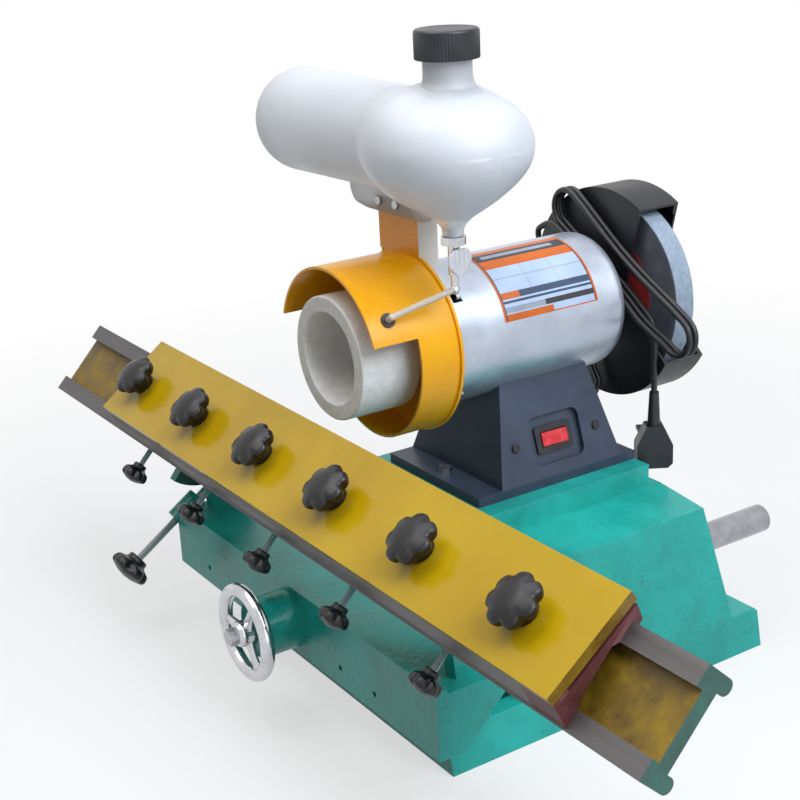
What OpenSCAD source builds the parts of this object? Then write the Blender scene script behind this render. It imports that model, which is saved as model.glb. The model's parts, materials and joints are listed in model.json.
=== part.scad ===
// Planer knife grinder: a cast base carries a double-ended grinder with a cup wheel,
// and a tilting bed on a sliding beam carries the knife carriage past the wheel.
// Frame: origin on the floor at the centre of the base, X along the bed, Y to the back, Z up.

/* [Base casting] */
// Width of the base along the bed, at the floor
base_w = 390; // [370:1:420]
// Width of the base at the shoulder of the housing
base_top_w = 330; // [322:1:350]
// Depth of the base, front to back
base_d = 403; // [395:1:430]
// Height of the low foot all round
foot_h = 42; // [36:1:50]
// Height of the housing's shoulder
housing_h = 166; // [160:1:180]
// Wall of the base casting
base_wall = 14; // [10:1:16]
// Width of the raised motor pad
pad_w = 204; // [180:1:220]
// Height of the raised motor pad
pad_h = 24; // [16:1:30]

/* [Infeed beam] */
// Length of the beam along the bed
beam_l = 510; // [490:1:530]
// Height of the beam
beam_h = 69; // [66:1:76]
// Height of the beam's underside above the floor
beam_z = 69; // [60:1:72]
// How far the beam stands out in front of the base
beam_reach = 54.5; // [50:0.5:70]
// Diameter of the guide rods
rod_d = 30; // [24:1:32]
// Distance of each guide rod from the middle
rod_x = 145; // [135:1:148]
// Diameter of the handwheel
handwheel_d = 100; // [90:1:120]
// Diameter of the feed screw
feed_d = 16; // [12:1:18]

/* [Bed] */
// Length of the bed
bed_l = 1064; // [960:1:1100]
// Width of the bed across its rails
bed_w = 93.4; // [90:0.1:100]
// Width of each machined rail
rail_w = 18; // [15:1:20]
// Height of the rails above the channel floor
rail_h = 8; // [6:0.5:10]
// Thickness of the web between the rails
web_t = 15; // [12:1:18]
// Slope of the bed at rest
bed_tilt = 46.7; // [44:0.1:48]
// Height of the tilt axis above the beam
pivot_h = 76.2; // [74:0.1:90]

/* [Knife carriage] */
// Length of the carriage and its clamp plate
carriage_l = 795; // [760:1:820]
// Width of the clamp plate
plate_w = 99.4; // [94:0.1:100]
// Thickness of the clamp plate
plate_t = 10; // [8:1:12]
// Angle of the carriage's top to the bed
wedge = 9.4; // [8:0.1:10]
// Gap for the knife under the clamp plate
knife_gap = 3; // [2:0.5:4]
// Diameter of the star knobs
star_d = 49; // [40:1:56]
// Height of the star knobs
star_h = 28; // [24:1:34]
// Distance between neighbouring star knobs
star_step = 137; // [125:1:140]

/* [Grinder] */
// Height of the spindle above the motor pad
spindle_rise = 161; // [155:1:170]
// Radius of the motor body
motor_r = 71.4; // [68:0.1:73]
// Length of the motor body
motor_l = 224; // [215:1:230]
// Diameter of the cup wheel
cup_d = 122; // [110:1:130]
// Length of the cup wheel
cup_l = 66; // [60:1:72]
// Wall of the cup wheel
cup_wall = 16; // [12:1:20]
// Diameter of the straight wheel
wheel_d = 200; // [180:1:206]
// Thickness of the straight wheel
wheel_t = 25; // [20:1:27]
// Radius of the cup guard
hood_r = 89; // [84:1:94]
// Radius of the wheel guard
guard_r = 113; // [110:1:120]

/* [Coolant] */
// Distance between the two lobes of the coolant tank
tank_l = 252; // [230:1:260]
// Radius of the tank's large lobe
bulb_r = 75; // [70:1:78]
// Radius of the tank's small lobe
lobe_r = 52; // [50.5:0.5:56]
// Radius of the tank between its lobes
waist_r = 49.5; // [47:0.5:50]
// Height of the tank's axis above the spindle
tank_rise = 202; // [200:1:215]
// Diameter of the tank cap
cap_d = 58; // [54:1:64]

/* [Hidden] */
$fn = 64;

// Clearances and the overrun of every cut
over = 2;
seat_gap = 0.03;
run_gap = 0.05;
slide_gap = 0.2;
turn_gap = 0.4;

// Shares of a size
tray_side_share = 1.5;
bevel_share = 0.14;
scallop_share = 0.30;
scallop_out_share = 0.35;
knob_neck_share = 0.25;
tab_lap_share = 0.9;
bulb_shares = [[0.27, -0.80], [0.56, -0.60], [0.80, -0.39], [0.95, -0.19], [1, 0.04], [0.96, 0.23],
    [0.84, 0.41], [0.64, 0.54], [0.44, 0.61]];
handle_shares = [[-0.58, 0.80], [0.58, 0.80], [0.94, 0.33], [0.90, -0.22], [0.29, -0.94], [-0.29, -0.94],
    [-0.90, -0.22], [-0.94, 0.33]];

// Colours, as the object shows them
teal = [0.18, 0.62, 0.56];
yellow = [0.90, 0.68, 0.10];
silver = [0.74, 0.76, 0.80];
black = [0.12, 0.12, 0.13];
steel = [0.60, 0.60, 0.62];
slate = [0.28, 0.32, 0.38];

// Base, worked out from its driving sizes
tray_d = 91.5;
back_foot_d = 36.5;
back_slope = 25;
crown_h = 9;
back_lip = 4;
tray_floor = 12;
pad_setback = 26;
pad_d = 208;
base_front = -base_d / 2;
base_back = base_d / 2;
housing_front = base_front + tray_d;
slope_foot = base_back - back_foot_d;
slope_top = slope_foot - back_slope;
crown_z = housing_h + crown_h;
pad_z = crown_z + pad_h;
pad_front = housing_front + pad_setback;
pad_back = pad_front + pad_d;
cavity_back = slope_top - base_wall;

// Guide rods, bushes and feed nut
rod_z = 118;
rod_r = rod_d / 2;
rod_tail = 45.5;
rod_seat = 12;
rod_exit_gap = 0.5;
bush_wall = 4;
bush_l = 45;
bush_r = rod_r + bush_wall;
boss_wall = 6;
bush_inset = 2;
back_bush_end = slope_top - bush_inset;
feed_z = 104;
feed_r = feed_d / 2;
nut_wall = 8;
nut_l = 45;
nut_flange_r = 24;
nut_flange_t = 8;
nut_r = feed_r + nut_wall;

// Beam, its ears and the tilt axis
beam_front = base_front - beam_reach;
beam_sole = 28;
beam_top = beam_z + beam_h;
beam_back = beam_front + beam_sole + beam_h;
lip_w = 11;
lip_h = 5;
boss_r = 30;
boss_l = 40;
drill_r = 3;
drill_depth = 9;
drill_z = 88;
drill_x = [-182, 92, 152];
pivot_in = 39.6;
pivot_y = beam_front + pivot_in;
pivot_z = beam_top + pivot_h;
ear_x = 224;
ear_t = 16;
ear_r = 17;
ear_foot_front = 31;
ear_foot_back = 6;
pin_r = 8;
pin_head_r = 11;
pin_head_t = 5;
lug_t = 16;
lug_gap = 2;
collar_r = 12;
collar_t = 7;
collar_back = 61;
screw_tip = 80;

// Bed section, in the tilted frame of the tilt axis
bed_rise = 42;
leg_w = 14;
leg_h = 12;
leg_share = 0.5;
web_z = bed_rise - rail_h - web_t;
quadrant_r = 62;
quadrant_x = 257;
quadrant_t = 12;
quadrant_half = 38;

// Lock screw of the tilt, and the adjusting screws in the bed's front side
lock_x = 263;
lock_angle = 34.3;
lock_ahead = 7.1;
lock_up = 42.3;
lock_y = beam_front - lock_ahead;
lock_z = beam_z + lock_up;
lock_r = 4;
lock_tip = 65.5;
lock_boss_r = 12;
lock_boss_from = 10;
lock_boss_l = 35;
lock_knob_d = 48;
lock_knob_h = 26;
lock_knob_at = 62;
lock_lobes = 5;
adjust_count = 5;
adjust_step = 143.6;
adjust_r = 3;
adjust_in = 22;
adjust_out = 19;
adjust_knob_d = 30;
adjust_knob_h = 22;
adjust_lobes = 6;
adjust_drop = 2;
adjust_z = bed_rise - rail_h - web_t / 2 - adjust_drop;

// Carriage section and clamp plate, in the tilted frame
carriage_x = 56.5;
plate_s = 14.5;
plate_rise = 26.3;
near_foot_in = 2;
near_foot_w = 16;
arch_rise = 5;
arch_run = 6;
lip_drop = 8;
lip_t = 5.4;
heel_w = 16;
star_count = 6;
star_first = 41;
stud_y = -4;
stud_r = 5;
stud_root = 7;
stud_top = 21;
neck_r = 13;
neck_h = 8;
star_lobes = 7;

// Grinder layout along the spindle
motor_overhang = 16;
motor_front = pad_front - motor_overhang;
motor_back = motor_front + motor_l;
spindle_z = pad_z + spindle_rise;
cap_l = 30;
cap_round = 14;
shell_t = 5.4;
hub_r = 30;
rear_hub_l = 26;
end_wall = 8;
bearing_r = 23.5;
bearing_t = 14;
bearing_in = 4;
bearing_land = 3;
shaft_r = 10;
shaft_gap = 1;
thread_r = 8;
core_l = 90;
core_r = 44;
air_gap = 0.4;
coil_l = 18;
coil_in = 3;
guard_t = 2.5;
guard_plate_t = 3;
hood_l = 91;
band_l = 43;
bead_r = 2.5;
hood_from = 19.5;
hood_to = 162;
hood_cut_steps = 5;
cup_stand = 28;
cup_floor = 16;
cup_back = motor_front - cup_stand;
cup_face = cup_back - cup_l;
arbor_flange_t = 5;
arbor_flange_r = 28;
arbor_nut_r = 15;
arbor_nut_t = 8;
thread_end = 1;
drum_front = motor_back + rear_hub_l;
drum_l = 50.5;
wheel_stand = 8.5;
wheel_front = drum_front + guard_t + wheel_stand;
wheel_bore_r = thread_r;
label_r = 60;
label_t = 0.6;
opening_from = -31;
opening_to = 60;
cut_x = 31;
guard_bore_r = 13;
guard_lip = 12;
cover_screw_in = 6.5;
cover_screw_at = [100, 185, 260];

// Pedestal and switch
foot_t = 10;
ped_w = 160;
ped_top_w = 100;
ped_h = 95;
ped_d = 156;
ped_top_d = 113;
ped_setback = 111;
ped_y = pad_front + ped_setback;
ped_wall = 12;
ped_roof = 26;
flange_front_l = 29;
flange_back_l = 18;
flange_front = ped_y - ped_d / 2 - flange_front_l;
flange_back = ped_y + ped_d / 2 + flange_back_l;
bolt_r = 4;
bolt_af_r = 7.5;
bolt_head_t = 5.5;
bolt_l = 26;
bolt_front_in = 16;
bolt_back_in = 9.5;
panel_tilt = atan((ped_w - ped_top_w) / 2 / ped_h);
switch_rise = 36;
pocket_w = 66;
pocket_h = 50;
pocket_t = 6;
pocket_r = 9;
bezel_w = 46;
bezel_h = 28;
bezel_t = 3;
bezel_r = 3;
body_w = 38;
body_h = 20;
body_t = 20;
rocker_w = 32;
rocker_h = 14;
rocker_t = 5;
rocker_gap = 0.8;
rocker_rock = 8;
panel_screw_y = 52;
capacitor_r = 20;
capacitor_l = 62;

// Coolant tank, valve and tube
bulb_x = 100;
tank_ahead = 14;
tank_y = motor_front - tank_ahead;
tank_z = spindle_z + tank_rise;
tank_wall = 3;
waist_at = 100;
lobe_steps = 8;
neck_x = bulb_x;
neck_tank_r = 22;
neck_foot = 55;
neck_flare = 4;
neck_top = 83;
cap_h = 26;
cap_wall = 3;
cap_low = 79;
outlet_x = bulb_x;
outlet_r = 10;
outlet_low = 78;
funnel_low = 72;
funnel_flare = 3;
tab_left = 84;
tab_right = 60;
tab_low = 77;
tab_chamfer = 15;
tab_t = 6;
bracket_w = 68;
bracket_x = -8;
bracket_top = 140;
bracket_fold = 21;
fold_low = 76;
fold_top = 121;
tank_screw_x = [-30, 0];
tank_screw_low = 66;
valve_r = 5.5;
valve_l = 36;
valve_low = outlet_low + valve_l;
valve_collar_r = 11.5;
valve_collar_h = 7.5;
handle_r = 13.8;
handle_t = 4;
handle_out = 1.5;
handle_stem_r = 2.5;
handle_drop = 22;
nozzle_r = 3.6;
nozzle_drop = 14;
tube_r = 3;
tube_bore_r = 1.8;
hole_angle = 34;
hole_back = 22;
hole_r = 4.5;
grommet_r = 7;
grommet_t = 1.5;

// Pan head screws
screw_r = 2.5;
screw_head_r = 4.6;
screw_head_t = 2.6;
screw_l = 9;
guard_screw_r = 40;
drum_screw_r = 21;
cap_screw_r = 1.8;
cap_head_r = 4;
cap_head_t = 5;
cap_screw_l = 11;
cap_screw_in = 2.7;
pocket_in = 8;
pocket_side = 14;
pocket_from = 15;
pocket_l = 11;

// Mains cord, gland and plug
cord_r = 3.25;
gland_l = 22;
gland_flange = 2;
gland_tip = 1.2;
gland_r = 7;
gland_rise = 24;
hank_turns = 2;
hank_half = 100;
hank_w = 20;
hank_waist = 5;
hank_shift = 15.5;
hank_slope = -31.5;
hank_off = hub_r + hank_w - hank_waist + cord_r + turn_gap;
hank_stand = 6;
hank_y = motor_back + hank_stand;
hank_pitch = 8;
hank_start = -90;
hank_end = 50;
plug_w = 38;
plug_h = 47;
plug_t = 20;
plug_shoulder_share = 0.45;
plug_turn = -32;
plug_round = 5;
relief_l = 36;
relief_r = 7;
relief_taper = 2;
pin_w = 6.3;
pin_t = 4;
pin_l = 17.7;
pin_spread = 11;
pin_up = 11;
pin_drop = 22.2;
earth_pin_l = 22.7;
earth_pin_w = 8;

// Moves a child to the frame of the tilted bed: y across the slope, z square to it
module on_bed() translate([0, pivot_y, pivot_z]) rotate([bed_tilt, 0, 0]) children();

// Moves a child to the frame of the clamp plate's top: y across it, z square to it
module on_plate() on_bed() translate([0, plate_s, bed_rise + plate_rise]) rotate([-wedge, 0, 0]) children();

// Moves a child to the spindle line, at a distance along it
module on_spindle(y) translate([0, y, spindle_z]) children();

// Moves a child to the front panel of the pedestal: y along the panel, z out of it
module on_panel(y) translate([panel_x(), ped_y + y, pad_z + foot_t + switch_rise])
    rotate([0, 90 - panel_tilt, 0]) children();
function panel_x() = ped_w / 2 - switch_rise * tan(panel_tilt);

// Extrudes a profile drawn in Y and Z along X, centred
module along_x(l) translate([-l / 2, 0, 0]) rotate([90, 0, 90]) linear_extrude(l) children();

// Extrudes a profile drawn in X and Z along Y, from y = 0
module along_y(l) translate([0, l, 0]) rotate([90, 0, 0]) linear_extrude(l) children();

module rod_x_dir(r, l) rotate([0, 90, 0]) cylinder(r = r, h = l);
module rod_y_dir(r, l) rotate([-90, 0, 0]) cylinder(r = r, h = l);
module tube_y(r, bore, l) difference() {
    rod_y_dir(r, l);
    translate([0, -over, 0]) rod_y_dir(bore, l + 2 * over);
}

// A profile of radius and length turned about the spindle, growing towards +Y
module turned_y() rotate([-90, 0, 0]) rotate_extrude() children();

// A rectangle with round corners, centred
module round_rect(w, h, r) union() {
    square([w - 2 * r, h], center = true);
    square([w, h - 2 * r], center = true);
    for (x = [-1, 1], y = [-1, 1]) translate([x * (w / 2 - r), y * (h / 2 - r)]) circle(r);
}

// A lobed hand knob standing on z = 0: a neck, then scalloped lobes with a bevelled crown
module lobed_knob(d, h, lobes, neck, neck_l, bore, bore_l) {
    r = d / 2;
    bevel = h * bevel_share;
    scallop = r * scallop_share;
    difference() {
        union() {
            cylinder(r = neck, h = neck_l + bevel);
            intersection() {
                translate([0, 0, neck_l]) linear_extrude(h - neck_l) difference() {
                    circle(r);
                    for (i = [0 : lobes - 1]) rotate(360 * (i + 0.5) / lobes)
                        translate([r + scallop * scallop_out_share, 0]) circle(scallop);
                }
                rotate_extrude() polygon([[0, 0], [r, 0], [r, h - bevel], [r - 2 * bevel, h], [0, h]]);
            }
        }
        translate([0, 0, -over]) cylinder(r = bore, h = bore_l + over);
    }
}

// A pan head screw whose head sits on z = 0 and whose shank points to -z
module pan_screw() union() {
    cylinder(r = screw_head_r, h = screw_head_t);
    translate([0, 0, -screw_l]) cylinder(r = screw_r, h = screw_l + screw_head_t / 2);
}

// Base casting

module base_profile_x(inset) polygon([
    [-base_w / 2 + inset, 0], [base_w / 2 - inset, 0], [base_top_w / 2 - inset, housing_h - inset],
    [pad_w / 2 - inset, crown_z - inset], [-pad_w / 2 + inset, crown_z - inset],
    [-base_top_w / 2 + inset, housing_h - inset]]);

module base_casting() color(teal) difference() {
    union() {
        difference() {
            intersection() {
                translate([0, base_front, 0]) along_y(base_d) base_profile_x(0);
                along_x(base_w + 2 * over) polygon([
                    [base_front, 0], [base_back, 0], [base_back, foot_h - back_lip],
                    [base_back - back_lip, foot_h], [slope_foot, foot_h], [slope_top, crown_z],
                    [housing_front, crown_z], [housing_front, foot_h], [base_front, foot_h]]);
            }
            translate([0, housing_front + base_wall, -over])
                along_y(cavity_back - housing_front - base_wall) base_profile_x(base_wall);
            translate([0, base_front + base_wall, tray_floor]) along_y(tray_d - base_wall)
                base_profile_x(base_wall * tray_side_share);
        }
        translate([-pad_w / 2, pad_front, crown_z - base_wall / 2])
            cube([pad_w, pad_d, pad_h + base_wall / 2]);
        for (x = [-rod_x, rod_x]) {
            translate([x, housing_front + over, rod_z]) rod_y_dir(bush_r + boss_wall, bush_l);
            translate([x, back_bush_end - bush_l, rod_z])
                rod_y_dir(bush_r + boss_wall, bush_l - base_wall / 2);
        }
        translate([0, housing_front + over, feed_z]) rod_y_dir(nut_r + boss_wall, nut_l);
    }
    for (x = [-rod_x, rod_x]) translate([x, 0, rod_z]) {
        translate([0, housing_front - over, 0]) rod_y_dir(bush_r + seat_gap, bush_l + 3 * over);
        translate([0, back_bush_end - bush_l - over, 0]) rod_y_dir(bush_r + seat_gap, bush_l + over);
        translate([0, housing_front, 0]) rod_y_dir(rod_r + rod_exit_gap, base_d);
    }
    translate([0, housing_front - over, feed_z]) rod_y_dir(nut_r + seat_gap, nut_l + 3 * over);
    for (y = bolt_ys()) translate([0, y, pad_z - bolt_l + foot_t])
        cylinder(r = bolt_r + seat_gap, h = bolt_l + over);
}
function bolt_ys() = [flange_front + bolt_front_in, flange_back - bolt_back_in];

module rod_bushes() color([0.72, 0.53, 0.25])
    for (x = [-rod_x, rod_x], y = [housing_front, back_bush_end - bush_l])
        translate([x, y, rod_z]) tube_y(bush_r, rod_r + run_gap, bush_l);

module feed_nut() color([0.72, 0.53, 0.25]) translate([0, housing_front, feed_z]) difference() {
    union() {
        rod_y_dir(nut_r, nut_l);
        translate([0, -nut_flange_t, 0]) rod_y_dir(nut_flange_r, nut_flange_t);
    }
    translate([0, -nut_flange_t - over, 0]) rod_y_dir(feed_r + run_gap, nut_l + nut_flange_t + 2 * over);
}

// Infeed beam with its rods, ears, boss and tilt pins

module beam_profile() polygon([[beam_front, beam_z], [beam_front + beam_sole, beam_z],
    [beam_back, beam_top], [beam_front, beam_top]]);

module ear_profile() union() {
    polygon([[beam_front + ear_foot_front, beam_top - lip_h - over], [beam_back - ear_foot_back, beam_top - lip_h - over],
        [pivot_y + ear_r, pivot_z], [pivot_y - ear_r, pivot_z]]);
    translate([pivot_y, pivot_z]) circle(ear_r);
}

module on_lock() translate([-lock_x, lock_y, lock_z]) rotate([lock_angle - 90, 0, 0]) children();

module front_beam() color(teal) difference() {
    union() {
        difference() {
            along_x(beam_l) beam_profile();
            translate([-beam_l, beam_front + lip_w, beam_top - lip_h])
                cube([2 * beam_l, beam_d(), lip_h + over]);
        }
        for (side = [0, 1]) mirror([side, 0, 0]) translate([ear_x + ear_t / 2, 0, 0])
            along_x(ear_t) ear_profile();
        translate([0, beam_front - boss_l, feed_z]) rod_y_dir(boss_r, boss_l + beam_sole / 2);
        on_lock() translate([0, 0, lock_boss_from]) cylinder(r = lock_boss_r, h = lock_boss_l);
    }
    for (x = [-rod_x, rod_x]) translate([x, beam_front + rod_seat, rod_z])
        rod_y_dir(rod_r + seat_gap, beam_d() + over);
    translate([0, beam_front - boss_l - over, feed_z]) rod_y_dir(feed_r + run_gap, boss_l + beam_d() + over);
    translate([0, beam_front + collar_back, feed_z]) rod_y_dir(collar_r + over, beam_d());
    for (x = drill_x) translate([x, beam_front - over, drill_z]) rod_y_dir(drill_r, drill_depth + over);
    for (side = [-1, 1]) translate([side * (ear_x - over), pivot_y, pivot_z])
        rotate([0, side * 90, 0]) cylinder(r = pin_r + seat_gap, h = ear_t + 2 * over);
    on_lock() translate([0, 0, lock_boss_from - over])
        cylinder(r = lock_r + run_gap, h = lock_boss_l + 2 * over);
}
function beam_d() = beam_back - beam_front;

module guide_rods() color(steel) for (x = [-rod_x, rod_x])
    translate([x, beam_front + rod_seat, rod_z])
        rod_y_dir(rod_r, base_back + rod_tail - beam_front - rod_seat);

module pivot_pins() color(steel) for (side = [-1, 1])
    translate([side * (ear_x - lug_gap - lug_t), pivot_y, pivot_z]) rotate([0, side * 90, 0]) union() {
        cylinder(r = pin_r, h = lug_t + lug_gap + ear_t + pin_head_t);
        translate([0, 0, lug_t + lug_gap + ear_t]) cylinder(r = pin_head_r, h = pin_head_t);
    }

module lock_screw() {
    color(steel) on_lock() translate([0, 0, -lock_knob_at]) cylinder(r = lock_r, h = lock_knob_at + lock_tip);
    color(black) on_lock() translate([0, 0, -lock_knob_at + lock_knob_h / 2]) mirror([0, 0, 1])
        lobed_knob(lock_knob_d, lock_knob_h, lock_lobes, lock_knob_d * knob_neck_share, lock_knob_h * knob_neck_share, lock_r, lock_knob_h / 2);
}

// Feed screw and handwheel

hub_front = beam_front - boss_l - slide_gap;
hub_l = 22;
spigot_r = 6;
rim_r = 7;
wheel_hub_r = 13;
spoke_r = 5;
spoke_count = 3;
rim_back = 10;
hand_nut_r = 9;
hand_nut_t = 8;

module feed_screw() color(steel) translate([0, 0, feed_z]) union() {
    translate([0, hub_front, 0]) rod_y_dir(feed_r, housing_front + screw_tip - hub_front);
    translate([0, hub_front - hub_l - hand_nut_t, 0]) rod_y_dir(spigot_r, hub_l + hand_nut_t + feed_r);
    translate([0, beam_front + collar_back + slide_gap, 0]) rod_y_dir(collar_r, collar_t);
}

module handwheel() color(silver) translate([0, hub_front - hub_l, feed_z]) difference() {
    union() {
        rod_y_dir(wheel_hub_r, hub_l);
        translate([0, hub_l - rim_back, 0]) rotate([-90, 0, 0]) rotate_extrude()
            translate([handwheel_d / 2 - rim_r, 0]) circle(rim_r);
        for (i = [0 : spoke_count - 1]) rotate([0, 360 * i / spoke_count + 30, 0])
            translate([0, hub_l - rim_back, 0]) cylinder(r = spoke_r, h = handwheel_d / 2 - rim_r);
    }
    translate([0, -over, 0]) rod_y_dir(spigot_r + seat_gap, hub_l + 2 * over);
}

module handwheel_nut() color(steel) translate([0, hub_front - hub_l - hand_nut_t, feed_z]) difference() {
    rotate([-90, 0, 0]) cylinder(r = hand_nut_r, h = hand_nut_t, $fn = 6);
    translate([0, -over, 0]) rod_y_dir(spigot_r + seat_gap, hand_nut_t + 2 * over);
}

// Bed and its adjusting screws

module bed_profile() union() {
    translate([-bed_w / 2, web_z]) square([bed_w, web_t]);
    for (side = [0, 1]) mirror([side, 0]) {
        translate([bed_w / 2 - rail_w, web_z]) square([rail_w, web_t + rail_h]);
        translate([bed_w / 2 - leg_w, web_z - leg_h + leg_w * leg_share]) square([leg_w, leg_h]);
        translate([bed_w / 2 - leg_w / 2, web_z - leg_h + leg_w * leg_share]) circle(leg_w / 2);
    }
}

module lug_profile() union() {
    translate([-ear_r, 0]) square([2 * ear_r, web_z + web_t / 2]);
    circle(ear_r);
}

module quadrant_profile() union() {
    translate([-ear_r, 0]) square([2 * ear_r, web_z + web_t / 2]);
    intersection() {
        circle(quadrant_r);
        rotate(-90 - bed_tilt) polygon([[0, 0], [2 * quadrant_r, -2 * quadrant_r * tan(quadrant_half)],
            [2 * quadrant_r, 2 * quadrant_r * tan(quadrant_half)]]);
    }
    circle(ear_r);
}

function adjust_x(i) = (i - (adjust_count - 1) / 2) * adjust_step;

module bed() color(teal) on_bed() difference() {
    union() {
        along_x(bed_l) bed_profile();
        for (side = [0, 1]) mirror([side, 0, 0]) translate([ear_x - lug_gap - lug_t / 2, 0, 0])
            along_x(lug_t) lug_profile();
        translate([-quadrant_x - quadrant_t / 2, 0, 0]) along_x(quadrant_t) quadrant_profile();
    }
    for (side = [-1, 1]) translate([side * (ear_x - lug_gap - lug_t - over), 0, 0])
        rotate([0, side * 90, 0]) cylinder(r = pin_r + run_gap, h = lug_t + 2 * over);
    for (i = [0 : adjust_count - 1]) translate([adjust_x(i), -bed_w / 2 - over, adjust_z])
        rod_y_dir(adjust_r + run_gap, adjust_in + 2 * over);
}

module adjust_screw(i) on_bed() translate([adjust_x(i), -bed_w / 2, adjust_z]) {
    color(steel) translate([0, -adjust_out - adjust_knob_h / 2, 0])
        rod_y_dir(adjust_r, adjust_out + adjust_knob_h / 2 + adjust_in);
    color(black) translate([0, -adjust_out, 0]) rotate([90, 0, 0])
        lobed_knob(adjust_knob_d, adjust_knob_h, adjust_lobes, adjust_knob_d * knob_neck_share, adjust_knob_h * knob_neck_share, adjust_r, adjust_knob_h / 2);
}
module adjust_screw_1() adjust_screw(0);
module adjust_screw_2() adjust_screw(1);
module adjust_screw_3() adjust_screw(2);
module adjust_screw_4() adjust_screw(3);
module adjust_screw_5() adjust_screw(4);

// Knife carriage, clamp plate and star knobs

// A point of the plate's frame, in the bed's frame
function on_wedge(y, z) = [plate_s + y * cos(wedge) + z * sin(wedge),
    bed_rise + plate_rise - y * sin(wedge) + z * cos(wedge)];
function star_x(i) = carriage_x - carriage_l / 2 + star_first + i * star_step;

module carriage() color([0.37, 0.18, 0.19]) difference() {
    union() {
        on_bed() translate([carriage_x, 0, 0]) along_x(carriage_l) polygon([
            [-bed_w / 2 + near_foot_in, bed_rise + slide_gap],
            [-bed_w / 2 + near_foot_in + near_foot_w, bed_rise + slide_gap],
            [-bed_w / 2 + near_foot_in + near_foot_w + arch_run, bed_rise + arch_rise],
            [bed_w / 2 - rail_w - arch_run, bed_rise + arch_rise],
            [bed_w / 2 - rail_w, bed_rise + slide_gap],
            [bed_w / 2 + slide_gap, bed_rise + slide_gap],
            [bed_w / 2 + slide_gap, bed_rise - lip_drop],
            [bed_w / 2 + slide_gap + lip_t, bed_rise - lip_drop],
            on_wedge(plate_w / 2 - lip_t / 2, -plate_t - knife_gap),
            on_wedge(-plate_w / 2, -plate_t - knife_gap)]);
        on_plate() translate([carriage_x - carriage_l / 2, -plate_w / 2, -plate_t - knife_gap])
            cube([carriage_l, heel_w, knife_gap - slide_gap]);
    }
    for (i = [0 : star_count - 1]) on_plate()
        translate([star_x(i), stud_y, -plate_t - knife_gap - stud_root])
            cylinder(r = stud_r + seat_gap, h = stud_root + over);
}

module clamp_studs() color(steel) for (i = [0 : star_count - 1]) on_plate()
    translate([star_x(i), stud_y, -plate_t - knife_gap - stud_root])
        cylinder(r = stud_r, h = plate_t + knife_gap + stud_root + stud_top);

module clamp_plate() color(yellow) on_plate() difference() {
    translate([carriage_x - carriage_l / 2, -plate_w / 2, -plate_t]) cube([carriage_l, plate_w, plate_t]);
    for (i = [0 : star_count - 1]) translate([star_x(i), stud_y, -plate_t - over])
        cylinder(r = stud_r + turn_gap, h = plate_t + 2 * over);
}

module star_knob(i) color(black) on_plate() translate([star_x(i), stud_y, slide_gap])
    lobed_knob(star_d, star_h, star_lobes, neck_r, neck_h, stud_r + run_gap, stud_top + over);
module star_knob_1() star_knob(0);
module star_knob_2() star_knob(1);
module star_knob_3() star_knob(2);
module star_knob_4() star_knob(3);
module star_knob_5() star_knob(4);
module star_knob_6() star_knob(5);

// Pedestal with its bolts, switch and capacitor

// The tapered block, from the top of the foot up to a height above it
module pedestal_block(inset, h) intersection() {
    translate([0, ped_y - ped_d, pad_z + foot_t]) along_y(2 * ped_d)
        taper(ped_w / 2 - inset, (ped_w - ped_top_w) / 2 / ped_h, h);
    translate([0, ped_y, pad_z + foot_t]) along_x(2 * ped_w)
        taper(ped_d / 2 - inset, (ped_d - ped_top_d) / 2 / ped_h, h);
}

// A trapezium standing on y = 0, given its half width, its slope and its height
module taper(half, slope, h) polygon([[-half, 0], [half, 0], [half - slope * h, h], [slope * h - half, h]]);

module pedestal() color(slate) difference() {
    union() {
        pedestal_block(0, ped_h + ped_roof);
        translate([-ped_w / 2, flange_front, pad_z]) cube([ped_w, flange_back - flange_front, foot_t]);
    }
    on_spindle(ped_y - ped_d) rod_y_dir(motor_r + seat_gap, 2 * ped_d);
    pedestal_block(ped_wall, ped_h - ped_roof);
    translate([-ped_w / 2 + ped_wall, ped_y - ped_d / 2 + ped_wall, pad_z - over])
        cube([ped_w - 2 * ped_wall, ped_d - 2 * ped_wall, foot_t + 2 * over]);
    on_panel(0) {
        translate([0, 0, -pocket_t]) linear_extrude(pocket_t + ped_wall) round_rect(pocket_h, pocket_w, pocket_r);
        translate([0, 0, -pocket_t - ped_wall]) linear_extrude(2 * ped_wall)
            square([body_h + 2 * seat_gap, body_w + 2 * seat_gap], center = true);
    }
    for (y = [-panel_screw_y, panel_screw_y]) on_panel(y) translate([0, 0, -screw_l])
        cylinder(r = screw_r + seat_gap, h = screw_l + ped_wall);
    for (y = bolt_ys()) translate([0, y, pad_z - over])
        cylinder(r = bolt_r + turn_gap, h = foot_t + ped_h / 4);
    on_gland() translate([0, 0, -2 * ped_wall]) cylinder(r = gland_bore_r(), h = 4 * ped_wall);
}

module pedestal_bolts() color(steel) for (y = bolt_ys())
    translate([0, y, pad_z + foot_t]) union() {
        cylinder(r = bolt_af_r, h = bolt_head_t, $fn = 6);
        translate([0, 0, -bolt_l]) cylinder(r = bolt_r, h = bolt_l + bolt_head_t / 2);
    }

module switch_bezel() color(black) on_panel(0) translate([0, 0, -pocket_t]) difference() {
    union() {
        linear_extrude(bezel_t) round_rect(bezel_h, bezel_w, bezel_r);
        translate([0, 0, -body_t]) linear_extrude(body_t + bezel_t / 2) square([body_h, body_w], center = true);
    }
    translate([0, 0, -rocker_t - over]) linear_extrude(rocker_t + 2 * bezel_t)
        square([rocker_h + 2 * rocker_gap, rocker_w + 2 * rocker_gap], center = true);
}

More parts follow.
